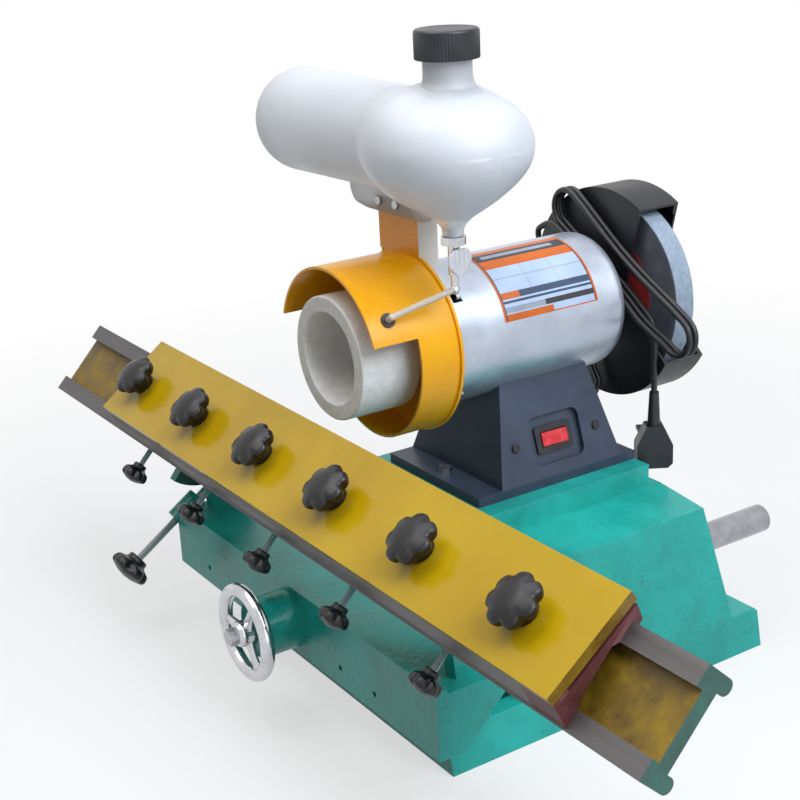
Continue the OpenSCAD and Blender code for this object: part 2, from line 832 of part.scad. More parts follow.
module switch_rocker() color([0.80, 0.10, 0.12]) on_panel(0) translate([0, 0, -pocket_t])
    rotate([rocker_rock, 0, 0]) translate([0, 0, -rocker_t / 2]) difference() {
        linear_extrude(rocker_t + bezel_t) square([rocker_h, rocker_w - rocker_t / 2], center = true);
        translate([0, 0, rocker_t + bezel_t + rocker_w * 2]) rotate([0, 90, 0])
            cylinder(r = rocker_w * 2 + rocker_t / 8, h = 2 * rocker_h, center = true, $fn = 96);
    }

module run_capacitor() color([0.78, 0.78, 0.75])
    translate([-capacitor_l / 2 - ped_wall, ped_y, pad_z + capacitor_r]) rod_x_dir(capacitor_r, capacitor_l);

// Motor

module cap_outline(l) union() {
    square([motor_r - cap_round, l]);
    translate([0, cap_round]) square([motor_r, l - cap_round]);
    translate([motor_r - cap_round, cap_round]) circle(cap_round);
}

// Bearing bracket: y = 0 is the outer face, the motor lies towards +y
module cap_solid() turned_y() difference() {
    cap_outline(cap_l);
    translate([hub_r, end_wall]) square([motor_r - shell_t - hub_r, cap_l]);
    translate([0, -over]) square([shaft_r + shaft_gap, cap_l + 2 * over]);
    translate([0, bearing_in]) square([bearing_r + seat_gap, cap_l]);
    translate([0, bearing_in + bearing_t + bearing_land]) square([motor_r - shell_t, cap_l]);
}

// Moves a child to each screw that holds the front cap: z points out of the motor's front
module on_cap_screws() for (a = [45 : 90 : 315]) on_spindle(motor_front + pocket_from + pocket_l)
    rotate([0, -a, 0]) translate([motor_r - cap_screw_in, 0, 0]) rotate([90, 0, 0]) children();

module front_end_cap() color(silver) difference() {
    on_spindle(motor_front) cap_solid();
    on_cap_screws() {
        translate([cap_screw_in - pocket_in, -pocket_side / 2, 0]) cube([2 * pocket_in, pocket_side, pocket_l]);
        translate([0, 0, -cap_screw_l]) cylinder(r = cap_screw_r + seat_gap, h = cap_screw_l + over);
    }
    for (i = [0 : 2]) on_spindle(motor_front) rotate([0, 120 * i, 0]) translate([guard_screw_r, -over, 0])
        rod_y_dir(screw_r + seat_gap, screw_l + over);
}

module rear_end_cap() color(silver) difference() {
    union() {
        on_spindle(motor_back) mirror([0, 1, 0]) cap_solid();
        on_spindle(motor_back - over) tube_y(hub_r, shaft_r + shaft_gap, rear_hub_l + over);
    }
    for (i = [0 : 2]) on_spindle(drum_front + over) rotate([0, 120 * i + 60, 0]) translate([drum_screw_r, 0, 0])
        rotate([90, 0, 0]) cylinder(r = screw_r + seat_gap, h = screw_l + over);
}

module motor_housing() color(silver) difference() {
    on_spindle(motor_front + cap_l) tube_y(motor_r, motor_r - shell_t, motor_l - 2 * cap_l);
    on_cap_screws() translate([0, 0, -cap_screw_l - over]) cylinder(r = cap_screw_r + seat_gap, h = cap_screw_l + 2 * over);
}

core_front = motor_front + (motor_l - core_l) / 2;

module stator_core() color([0.35, 0.35, 0.37]) on_spindle(core_front)
    tube_y(motor_r - shell_t - seat_gap, core_r, core_l);

module stator_windings() color([0.72, 0.40, 0.20])
    for (y = [core_front - coil_l, core_front + core_l])
        on_spindle(y) tube_y(motor_r - shell_t - coil_in, core_r + coil_in, coil_l);

module bearings() color(steel)
    for (y = [motor_front + bearing_in, motor_back - bearing_in - bearing_t])
        on_spindle(y) tube_y(bearing_r, shaft_r + run_gap, bearing_t);

module rotor() color([0.45, 0.45, 0.47]) on_spindle(core_front)
    tube_y(core_r - air_gap, shaft_r + seat_gap, core_l);

// Spindle, wheels, flanges and nuts

cup_seat = cup_back - cup_floor;
front_end = cup_seat - arbor_flange_t - arbor_nut_t - thread_end;
rear_end = wheel_front + wheel_t + arbor_flange_t + arbor_nut_t + thread_end / 2;

module spindle_shaft() color(steel) union() {
    on_spindle(cup_back) rod_y_dir(shaft_r, wheel_front - cup_back);
    on_spindle(front_end) rod_y_dir(thread_r, rear_end - front_end);
}

module cup_wheel() color([0.90, 0.91, 0.92]) on_spindle(cup_face) difference() {
    rod_y_dir(cup_d / 2, cup_l);
    translate([0, -over, 0]) rod_y_dir(cup_d / 2 - cup_wall, cup_l - cup_floor + over);
    translate([0, -over, 0]) rod_y_dir(thread_r + seat_gap, cup_l + 2 * over);
}

module grinding_wheel() color([0.58, 0.62, 0.66]) on_spindle(wheel_front)
    tube_y(wheel_d / 2, wheel_bore_r + seat_gap, wheel_t);

module wheel_labels() color([0.75, 0.15, 0.15])
    for (y = [wheel_front - label_t, wheel_front + wheel_t])
        on_spindle(y) tube_y(label_r, arbor_flange_r + seat_gap, label_t);

// Clamping flanges: one behind the cup on the shaft, one in it, one each side of the wheel
module wheel_flanges() color(silver) {
    on_spindle(cup_back) tube_y(arbor_flange_r, shaft_r + seat_gap, arbor_flange_t);
    on_spindle(cup_seat - arbor_flange_t) tube_y(arbor_flange_r, thread_r + seat_gap, arbor_flange_t);
    on_spindle(wheel_front - arbor_flange_t) tube_y(arbor_flange_r, shaft_r + seat_gap, arbor_flange_t);
    on_spindle(wheel_front + wheel_t) tube_y(arbor_flange_r, thread_r + seat_gap, arbor_flange_t);
}

module arbor_nuts() color(steel)
    for (y = [cup_seat - arbor_flange_t - arbor_nut_t, wheel_front + wheel_t + arbor_flange_t])
        on_spindle(y) difference() {
            rotate([-90, 0, 0]) cylinder(r = arbor_nut_r, h = arbor_nut_t, $fn = 6);
            translate([0, -over, 0]) rod_y_dir(thread_r + seat_gap, arbor_nut_t + 2 * over);
        }

// Guards

hole_y = cup_face + hole_back;

module cup_guard() color(yellow) difference() {
    union() {
        difference() {
            on_spindle(motor_front - hood_l - guard_plate_t) tube_y(hood_r, hood_r - guard_t, hood_l + guard_plate_t / 2);
            on_spindle(motor_front - hood_l - guard_plate_t - over) along_y(hood_l - band_l + over)
                polygon(concat([[0, 0]], [for (i = [0 : hood_cut_steps])
                    let (a = hood_to + (hood_from + 360 - hood_to) * i / hood_cut_steps) 2 * hood_r * [cos(a), sin(a)]]));
        }
        on_spindle(motor_front - guard_plate_t) tube_y(hood_r + bead_r, hub_r, guard_plate_t);
        translate([bracket_x - bracket_w / 2, motor_front - guard_plate_t, spindle_z + hood_r - guard_t])
            cube([bracket_w, guard_plate_t, bracket_top - hood_r + guard_t]);
        for (side = [0, 1]) translate([bracket_x, 0, 0]) mirror([side, 0, 0])
            translate([bracket_w / 2 - guard_t, motor_front - guard_plate_t / 2, spindle_z + fold_low])
                cube([guard_t, bracket_fold, fold_top - fold_low]);
    }
    on_spindle(hole_y) rotate([0, 90 - hole_angle, 0]) cylinder(r = hole_r, h = 2 * hood_r);
    for (i = [0 : 2]) on_spindle(motor_front - guard_plate_t - over) rotate([0, 120 * i, 0])
        translate([guard_screw_r, 0, 0]) rod_y_dir(screw_r + seat_gap, guard_plate_t + 2 * over);
    for (x = tank_screw_x) translate([x, motor_front - guard_plate_t - over, tank_z - tank_screw_low])
        rod_y_dir(screw_r + seat_gap, guard_plate_t + 2 * over);
}

module hood_grommet() color([0.25, 0.20, 0.18]) on_spindle(hole_y) rotate([0, 90 - hole_angle, 0])
    translate([0, 0, hood_r]) difference() {
        union() {
            translate([0, 0, turn_gap]) cylinder(r = grommet_r, h = grommet_t);
            translate([0, 0, -guard_t]) cylinder(r = hole_r - seat_gap, h = guard_t + turn_gap + grommet_t / 2);
        }
        translate([0, 0, -guard_t - over]) cylinder(r = tube_r + seat_gap, h = 4 * guard_t + 2 * over);
    }

// The open side of the wheel guard, as a wedge with its corner beside the hub
module opening_wedge(l) on_spindle(drum_front - over) along_y(l + 2 * over) polygon([
    [cut_x, 0], past_tip(opening_from), [3 * guard_r, 0], past_tip(opening_to)]);

// A point beyond the tip of the guard at an angle, on the line from the wedge's corner
function past_tip(a) = [2 * guard_r * cos(a) - cut_x, 2 * guard_r * sin(a)];

module wheel_guard() color(black) difference() {
    on_spindle(drum_front) turned_y() polygon([[guard_bore_r, 0], [guard_r, 0], [guard_r, drum_l],
        [guard_r - guard_lip, drum_l], [guard_r - guard_lip, drum_l - guard_t], [guard_r - guard_t, drum_l - guard_t],
        [guard_r - guard_t, guard_t], [guard_bore_r, guard_t]]);
    opening_wedge(drum_l);
    for (a = cover_screw_at) on_spindle(drum_front + drum_l - guard_t - over) rotate([0, -a, 0])
        translate([guard_r - cover_screw_in, 0, 0]) rod_y_dir(screw_r + seat_gap, guard_t + 2 * over);
    for (i = [0 : 2]) on_spindle(drum_front - over) rotate([0, 120 * i + 60, 0]) translate([drum_screw_r, 0, 0])
        rod_y_dir(screw_r + seat_gap, guard_t + 2 * over);
}

module wheel_guard_cover() color(black) difference() {
    on_spindle(drum_front + drum_l) rod_y_dir(guard_r, guard_t);
    translate([0, drum_l, 0]) opening_wedge(guard_t);
    for (a = cover_screw_at) on_spindle(drum_front + drum_l - over) rotate([0, -a, 0])
        translate([guard_r - cover_screw_in, 0, 0]) rod_y_dir(screw_r + seat_gap, guard_t + 2 * over);
}

module pan_head_screws() color(silver) {
    for (i = [0 : 2]) on_spindle(motor_front - guard_plate_t) rotate([0, 120 * i, 0])
        translate([guard_screw_r, 0, 0]) rotate([90, 0, 0]) pan_screw();
    for (i = [0 : 2]) on_spindle(drum_front + guard_t) rotate([0, 120 * i + 60, 0])
        translate([drum_screw_r, 0, 0]) rotate([-90, 0, 0]) pan_screw();
    for (a = cover_screw_at) on_spindle(drum_front + drum_l + guard_t) rotate([0, -a, 0])
        translate([guard_r - cover_screw_in, 0, 0]) rotate([-90, 0, 0]) pan_screw();
    on_cap_screws() union() {
        cylinder(r = cap_head_r, h = cap_head_t);
        translate([0, 0, -cap_screw_l]) cylinder(r = cap_screw_r, h = cap_screw_l + cap_head_t / 2);
    }
    for (y = [-panel_screw_y, panel_screw_y]) on_panel(y) pan_screw();
    for (x = tank_screw_x) translate([x, motor_front - guard_plate_t - tab_t, tank_z - tank_screw_low])
        rotate([90, 0, 0]) pan_screw();
}

// Coolant tank, cap, valve and tube

// The bulb's outline from the outlet up to the neck, as radius and height
bulb_outline = concat([[outlet_r, -outlet_low], [outlet_r, -funnel_low],
    [outlet_r + funnel_flare, 2 * funnel_flare - funnel_low]], bulb_r * bulb_shares,
    [[neck_tank_r + neck_flare, neck_foot - neck_flare], [neck_tank_r, neck_foot + neck_flare], [neck_tank_r, neck_top]]);

// An outline moved inwards by a distance
function shrunk(p, d) = [for (i = [0 : len(p) - 1]) let (t = heading(p, i)) p[i] + d * [-t[1], t[0]]];

// The tank's body, shrunk by an inset; its openings run past their ends by a reach
module tank_body(inset, reach) translate([bulb_x, tank_y, tank_z]) {
    rings = shrunk(bulb_outline, inset);
    last = len(rings) - 1;
    rotate_extrude() polygon(concat([[0, rings[0][1] - reach], [rings[0][0], rings[0][1] - reach]], rings,
        [[rings[last][0], rings[last][1] + reach], [0, rings[last][1] + reach]]));
    rotate([0, 90, 0]) rotate_extrude() polygon(concat([[0, -tank_l - (lobe_r - inset) * cos(90 / lobe_steps)]],
        [for (i = [1 : lobe_steps]) [(lobe_r - inset) * sin(90 * i / lobe_steps),
            -tank_l - (lobe_r - inset) * cos(90 * i / lobe_steps)]],
        [[waist_r - inset, -waist_at], [waist_r - inset, 0], [0, 0]]));
}

module tank_tab() polygon([[-tab_left, -waist_r * tab_lap_share], [-tab_left, tab_chamfer - tab_low],
    [tab_chamfer / 2 - tab_left, tab_chamfer / 4 - tab_low], [2 * tab_chamfer - tab_left, -tab_low],
    [tab_right - tab_chamfer, -tab_low], [tab_right, tab_chamfer / 2 - tab_low],
    [tab_right, -waist_r * tab_lap_share]]);

module coolant_tank() color([0.90, 0.93, 0.96]) difference() {
    union() {
        tank_body(0, 0);
        translate([0, motor_front - guard_plate_t - tab_t, tank_z]) along_y(tab_t) tank_tab();
    }
    tank_body(tank_wall, over);
    for (x = tank_screw_x) translate([x, motor_front - guard_plate_t - tab_t - over, tank_z - tank_screw_low])
        rod_y_dir(screw_r + seat_gap, tab_t + 2 * over);
}

module tank_cap() color(black) translate([neck_x, tank_y, tank_z + cap_low]) difference() {
    cylinder(r = cap_d / 2, h = cap_h);
    translate([0, 0, -over]) cylinder(r = neck_tank_r + turn_gap, h = neck_top - cap_low + turn_gap + over);
}

module drip_valve() color(silver) translate([outlet_x, tank_y, tank_z - valve_low]) difference() {
    union() {
        cylinder(r = valve_r, h = valve_l);
        translate([0, 0, valve_l - valve_collar_h]) cylinder(r = valve_collar_r, h = valve_collar_h);
        translate([0, 0, -nozzle_drop]) cylinder(r = nozzle_r, h = nozzle_drop + over);
        translate([0, 0, -nozzle_drop]) sphere(r = nozzle_r + over / 2);
    }
    translate([0, 0, valve_l - handle_drop]) rod_x_dir(handle_stem_r + run_gap, valve_r + over);
    translate([0, 0, -nozzle_drop]) along_tube() cylinder(r = tube_r + seat_gap, h = 2 * nozzle_r);
}

module valve_handle() color(silver) translate([outlet_x, tank_y, tank_z - valve_low + valve_l - handle_drop]) {
    translate([turn_gap, 0, 0]) rod_x_dir(handle_stem_r, valve_r + handle_out + handle_t / 2);
    translate([valve_r + handle_out, 0, 0]) rotate([90, 0, 90]) linear_extrude(handle_t)
        polygon(handle_r * handle_shares);
}

// The drip tube runs from the nozzle to an elbow over the hood, then down its hole
elbow_out = 9;
elbow_swell = 0.3;
tube_past = 2;
hole_dir = [cos(hole_angle), 0, sin(hole_angle)];
tube_from = [outlet_x, tank_y, tank_z - valve_low - nozzle_drop];
tube_elbow = [0, hole_y, spindle_z] + (hood_r + elbow_out) * hole_dir;
tube_run = tube_elbow - tube_from;

// Turns +z to the direction of the drip tube
module along_tube() rotate([0, acos(tube_run[2] / norm(tube_run)), atan2(tube_run[1], tube_run[0])])
    children();

// The tube as a solid of one radius, longer at both ends by a reach
module tube_solid(r, reach) {
    translate(tube_from) along_tube() translate([0, 0, -reach]) cylinder(r = r, h = norm(tube_run) + reach);
    translate(tube_elbow) sphere(r + elbow_swell);
    translate(tube_elbow) rotate([0, 90 - hole_angle, 0])
        mirror([0, 0, 1]) cylinder(r = r, h = elbow_out + guard_t + tube_past + reach);
}

module drip_tube() color([0.85, 0.85, 0.82]) difference() {
    tube_solid(tube_r, 0);
    tube_solid(tube_bore_r, over);
}

// Mains cord: lead, hank, tail and plug

cord_sides = 8;
gland_wall = 2.3;
gland_slope = (ped_d - ped_top_d) / 2 / ped_h;
gland_tilt = atan(gland_slope);
gland_z = pad_z + foot_t + gland_rise;
gland_y = ped_y + ped_d / 2 - gland_rise * gland_slope;
gland_dir = [0, cos(gland_tilt), sin(gland_tilt)];
gland_up = [0, -sin(gland_tilt), cos(gland_tilt)];
function gland_bore_r() = cord_r + gland_wall;

// Moves a child to the gland: z points squarely out of the pedestal's back
module on_gland() translate([0, gland_y, gland_z]) rotate([gland_tilt - 90, 0, 0]) children();

module cord_gland() color(black) on_gland() difference() {
    union() {
        translate([0, 0, -ped_wall]) cylinder(r = gland_bore_r() - seat_gap, h = ped_wall + over);
        cylinder(r = gland_r + gland_flange, h = gland_flange);
        cylinder(r1 = gland_r, r2 = cord_r + gland_tip, h = gland_l);
    }
    translate([0, 0, -2 * ped_wall]) cylinder(r = cord_r + seat_gap, h = 2 * ped_wall + gland_l + over);
}

// Unit vector along v
function unit(v) = v / norm(v);

// Direction of a path at point i
function heading(p, i) = unit(p[min(i + 1, len(p) - 1)] - p[max(i - 1, 0)]);

// Side vectors carried along a path without twist
function carried(p, n, i, acc) = i == len(p) ? acc :
    let (t = heading(p, i), m = unit(n - t * (n * t))) carried(p, m, i + 1, concat(acc, [m]));

// A round cord of radius r along a path of points
module cord_along(p, r, first_side) {
    n = len(p);
    sides = carried(p, first_side, 0, []);
    ring_points = [for (i = [0 : n - 1]) let (t = heading(p, i), a = sides[i], b = cross(t, a))
        for (k = [0 : cord_sides - 1]) p[i] + r * (a * cos(360 * k / cord_sides) + b * sin(360 * k / cord_sides))];
    walls = [for (i = [0 : n - 2], k = [0 : cord_sides - 1])
        let (j = (k + 1) % cord_sides, q = i * cord_sides, w = q + cord_sides)
            for (half = [0, 1]) half == 0 ? [q + k, w + k, w + j] : [q + k, w + j, q + j]];
    first_end = [[for (k = [0 : cord_sides - 1]) k]];
    last_end = [[for (k = [cord_sides - 1 : -1 : 0]) (n - 1) * cord_sides + k]];
    polyhedron(points = ring_points, faces = concat(walls, first_end, last_end));
}

// A smooth path through control points, with a number of steps between neighbours
function between(a, b, c, d, t) = (2 * b + (c - a) * t + (2 * a - 5 * b + 4 * c - d) * t * t
    + (3 * b - a - 3 * c + d) * t * t * t) / 2;
function smooth(p, steps) = concat([for (i = [0 : len(p) - 2], k = [0 : steps - 1])
    between(p[max(i - 1, 0)], p[i], p[i + 1], p[min(i + 2, len(p) - 1)], k / steps)], [p[len(p) - 1]]);

// A point of the hank from its place along and across the runs and its layer
run_steps = 12;
fold_steps = 8;
run_dir = [cos(hank_slope), 0, sin(hank_slope)];
across_dir = [-sin(hank_slope), 0, cos(hank_slope)];
hank_middle = [0, hank_y, spindle_z] + hank_shift * run_dir + hank_off * across_dir;
function hank_pt(a, v, layer) = hank_middle + a * run_dir + v * across_dir + [0, hank_pitch * layer, 0];
function run_v(a) = hank_w - hank_waist * pow(1 - pow(a / hank_half, 2), 2);
function climb(a) = let (t = max(0, min(1, (a - hank_end) / (hank_half - hank_end)))) t * t * (3 - 2 * t);
function lower_run(from, to, layer) = [for (i = [0 : run_steps]) let (a = from + (to - from) * i / run_steps)
    hank_pt(a, -run_v(a), layer + climb(a))];
function upper_run(layer) = [for (i = [0 : run_steps]) let (a = hank_half - 2 * hank_half * i / run_steps)
    hank_pt(a, run_v(a), layer)];
function fold(side, layer) = [for (i = [1 : fold_steps - 1]) let (t = 180 * i / fold_steps)
    hank_pt(side * (hank_half + hank_w * sin(t)), -side * hank_w * cos(t), layer)];
hank_path = concat(lower_run(hank_start, hank_half, 0), fold(1, 1), upper_run(1), fold(-1, 1),
    lower_run(-hank_half, hank_half, 1), fold(1, 2), upper_run(2), fold(-1, 2), lower_run(-hank_half, hank_end, 2));

module cord_hank() color(black) cord_along(hank_path, cord_r, [0, 1, 0]);

// Lead: out of the gland, round a bend, up the left side and over into the first run
lead_in = 8;
lead_out = 23;
lead_bend_r = 27;
lead_steps = 4;
lead_join = hank_path[0];
lead_start = [0, gland_y, gland_z];
lead_rise = [[-5, 272], [-16, 291], [-32, 317], [-50, 344], [-67, 368], [-80, 391]];
lead_fall = [142, 141, 139, 136.5, 133.5, 131];
lead_turn = [for (t = [0 : 24 : 72]) lead_start + (lead_out + lead_bend_r * sin(t)) * gland_dir
    + lead_bend_r * (1 - cos(t)) * gland_up];
lead_over = [for (t = [180 : -22.5 : 90])
    lead_join + lead_bend_r * (cos(t) * run_dir + (sin(t) - 1) * across_dir)];
lead_path = smooth(concat([lead_start - lead_in * gland_dir], lead_turn,
    [for (i = [0 : len(lead_rise) - 1]) [lead_rise[i][0], lead_fall[i], lead_rise[i][1]]], lead_over), lead_steps);

module cord_lead() color(black) cord_along(lead_path, cord_r, [1, 0, 0]);

// Tail: round a bend out of the last run, then straight down to the plug
bend_r = 30;
tail_drop = 58;
bend_steps = 8;
tail_from = hank_path[len(hank_path) - 1];
tail_heading = let (d = tail_from - hank_path[len(hank_path) - 2]) atan2(d[2], d[0]);
function tail_pt(a) = tail_from + bend_r * [cos(a + 90) - cos(tail_heading + 90), 0, sin(a + 90) - sin(tail_heading + 90)];
tail_turn = [for (i = [0 : bend_steps]) tail_pt(tail_heading + (-90 - tail_heading) * i / bend_steps)];
tail_end = tail_turn[bend_steps] - [0, 0, tail_drop];
tail_path = concat(tail_turn, [tail_end - [0, 0, relief_taper - slide_gap]]);

module cord_tail() color(black) cord_along(tail_path, cord_r, [0, 1, 0]);

// Moulded plug hanging on the tail: relief, body and three flat pins out of its back
module plug_outline() polygon([[plug_round - plug_w / 2, -plug_h], [plug_w / 2 - plug_round, -plug_h],
    [plug_w / 2, plug_round - plug_h], [plug_w / 2, -plug_h * plug_shoulder_share], [relief_r + over, 0],
    [-relief_r - over, 0], [-plug_w / 2, -plug_h * plug_shoulder_share], [-plug_w / 2, plug_round - plug_h]]);

module plug() color(black) translate(tail_end) rotate([0, 0, plug_turn]) difference() {
    union() {
        translate([0, 0, -relief_l - over]) cylinder(r1 = relief_r, r2 = relief_r - relief_taper, h = relief_l + over);
        translate([0, 0, -relief_l]) along_x(plug_t) plug_outline();
        translate([0, 0, -relief_l - plug_h / 2]) {
            for (side = [-1, 1]) translate([-plug_t / 2 - pin_l, side * pin_spread - pin_w / 2, pin_up - pin_t / 2])
                cube([pin_l + over, pin_w, pin_t]);
            translate([-plug_t / 2 - earth_pin_l, -pin_t / 2, pin_up - pin_drop - earth_pin_w / 2])
                cube([earth_pin_l + over, pin_t, earth_pin_w]);
        }
    }
    translate([0, 0, -relief_taper]) cylinder(r = cord_r + seat_gap, h = relief_taper + over);
}

base_casting();
rod_bushes();
feed_nut();
pedestal();
pedestal_bolts();
motor_housing();
front_end_cap();
rear_end_cap();
stator_core();
stator_windings();
bearings();
run_capacitor();
cup_guard();
hood_grommet();
coolant_tank();
pan_head_screws();
drip_valve();
drip_tube();
wheel_guard();
wheel_guard_cover();
switch_bezel();
cord_gland();
cord_lead();
cord_hank();
cord_tail();
plug();
spindle_shaft();
rotor();
cup_wheel();
grinding_wheel();
wheel_labels();
wheel_flanges();
arbor_nuts();
front_beam();
guide_rods();
pivot_pins();
feed_screw();
handwheel();
handwheel_nut();
bed();
carriage();
clamp_studs();
clamp_plate();
star_knob_1();
star_knob_2();
star_knob_3();
star_knob_4();
star_knob_5();
star_knob_6();
adjust_screw_1();
adjust_screw_2();
adjust_screw_3();
adjust_screw_4();
adjust_screw_5();
lock_screw();
tank_cap();
valve_handle();
switch_rocker();
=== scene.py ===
"""Planer knife grinder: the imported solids, dressed as the machine in the photograph.

The solids come in as a fixed frame, in metres: X along the bed, Y from the bed to the
rear wheel, Z up, with the origin on the bench at the middle of the base.
"""

from __future__ import annotations

import json
import logging
import math
from collections.abc import Callable
from dataclasses import dataclass
from enum import Enum
from functools import cache

import bmesh
import bpy
import numpy as np
from mathutils import Matrix, Vector

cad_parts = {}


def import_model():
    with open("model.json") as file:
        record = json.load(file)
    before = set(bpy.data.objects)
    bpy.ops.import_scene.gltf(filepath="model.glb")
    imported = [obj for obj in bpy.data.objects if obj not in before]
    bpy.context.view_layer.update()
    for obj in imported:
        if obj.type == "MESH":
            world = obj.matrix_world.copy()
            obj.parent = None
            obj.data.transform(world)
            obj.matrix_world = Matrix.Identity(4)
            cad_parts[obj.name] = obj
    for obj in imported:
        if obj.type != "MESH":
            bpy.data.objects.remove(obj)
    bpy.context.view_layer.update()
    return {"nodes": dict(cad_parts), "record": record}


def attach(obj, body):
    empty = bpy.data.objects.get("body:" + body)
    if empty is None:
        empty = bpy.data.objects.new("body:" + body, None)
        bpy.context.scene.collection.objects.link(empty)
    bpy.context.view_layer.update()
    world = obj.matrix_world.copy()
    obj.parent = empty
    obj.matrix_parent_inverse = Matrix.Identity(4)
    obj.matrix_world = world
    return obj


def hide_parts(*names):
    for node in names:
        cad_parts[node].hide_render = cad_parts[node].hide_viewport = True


LOG = logging.getLogger("knife_grinder")
MM = 0.001
# A face looks along a direction where its normal has more than this share of it.
FLAT = 0.9
# Points of a new piece that are closer than this, in metres, are one point.
WELD = 1e-6
# Steps round a turned piece.
ROUND = 64

Array = np.ndarray
Colour = tuple[float, float, float, float]
Point = tuple[float, float, float]
Outline = tuple[tuple[float, float], ...]
Surface = tuple[Array, Array]


# Colour and node helpers


def linear(hex_code: str) -> Colour:
    """Turn an sRGB hex colour into the linear colour that a shader takes.

    Args:
        hex_code: six hex digits.

    Returns:
        Linear red, green and blue, and an alpha of one.
    """
    raw = [int(hex_code[i : i + 2], 16) / 255 for i in (0, 2, 4)]
    rgb = [c / 12.92 if c <= 0.04045 else ((c + 0.055) / 1.055) ** 2.4 for c in raw]
    return rgb[0], rgb[1], rgb[2], 1.0


def add_node(tree: bpy.types.NodeTree, kind: str, values: dict | None = None, links: dict | None = None,
             **settings: object) -> bpy.types.Node:
    """Add one shader node with its settings, input values and links.

    Args:
        tree: the node tree.
        kind: the node's type name.
        values: input name or index to a fixed value.
        links: input name or index to an output socket.
        settings: the node's own properties.

    Returns:
        The new node.
    """
    node = tree.nodes.new(kind)
    for name, value in settings.items():
        setattr(node, name, value)
    for name, value in (values or {}).items():
        node.inputs[name].default_value = value
    for name, socket in (links or {}).items():
        tree.links.new(socket, node.inputs[name])
    return node


def ramp(tree: bpy.types.NodeTree, factor: bpy.types.NodeSocket,
         stops: list[tuple[float, Colour]]) -> bpy.types.NodeSocket:
    """Colour ramp over a factor, from a list of places and colours.

    Args:
        tree: the node tree.
        factor: the output socket that drives it.
        stops: rising places from 0 to 1, each with its colour.

    Returns:
        The ramp's colour output.
    """
    node = add_node(tree, "ShaderNodeValToRGB", links={"Fac": factor})
    elements = node.color_ramp.elements
    while len(elements) < len(stops):
        elements.new(0.5)
    for element, (place, colour) in zip(elements, stops):
        element.position, element.color = place, colour
    return node.outputs["Color"]


def grey(value: float) -> Colour:
    """Grey of one level, as a ramp colour."""
    return value, value, value, 1.0


def clouds(tree: bpy.types.NodeTree, place: bpy.types.NodeSocket, size_mm: float, detail: float,
           rough: float) -> bpy.types.NodeSocket:
    """Soft noise of one size.

    Args:
        tree: the node tree.
        place: socket of the place that it is read at.
        size_mm: size of the clouds.
        detail: finer layers added.
        rough: how strong the finer layers are.

    Returns:
        The noise's socket.
    """
    return add_node(tree, "ShaderNodeTexNoise", {"Scale": 1.0 / (size_mm * MM), "Detail": detail, "Roughness": rough},
                    {"Vector": place}).outputs["Fac"]


def stained(tree: bpy.types.NodeTree, share: bpy.types.NodeSocket, colour: bpy.types.NodeSocket,
            stain: str) -> bpy.types.NodeSocket:
    """Colour with a stain over a share of it.

    Args:
        tree: the node tree.
        share: socket of the share.
        colour: socket of the colour.
        stain: the stain's hex colour.

    Returns:
        The mixed colour's socket.
    """
    # A mix node has its two colours on inputs 6 and 7, and gives their mix on output 2.
    return add_node(tree, "ShaderNodeMix", {7: linear(stain)}, {0: share, 6: colour}, data_type="RGBA").outputs[2]


class Grain(Enum):
    """Direction along which a machined surface was cut, as the pattern's stretch."""

    ALONG_X = (0.03, 1.0, 1.0)
    EVEN = (1.0, 1.0, 1.0)


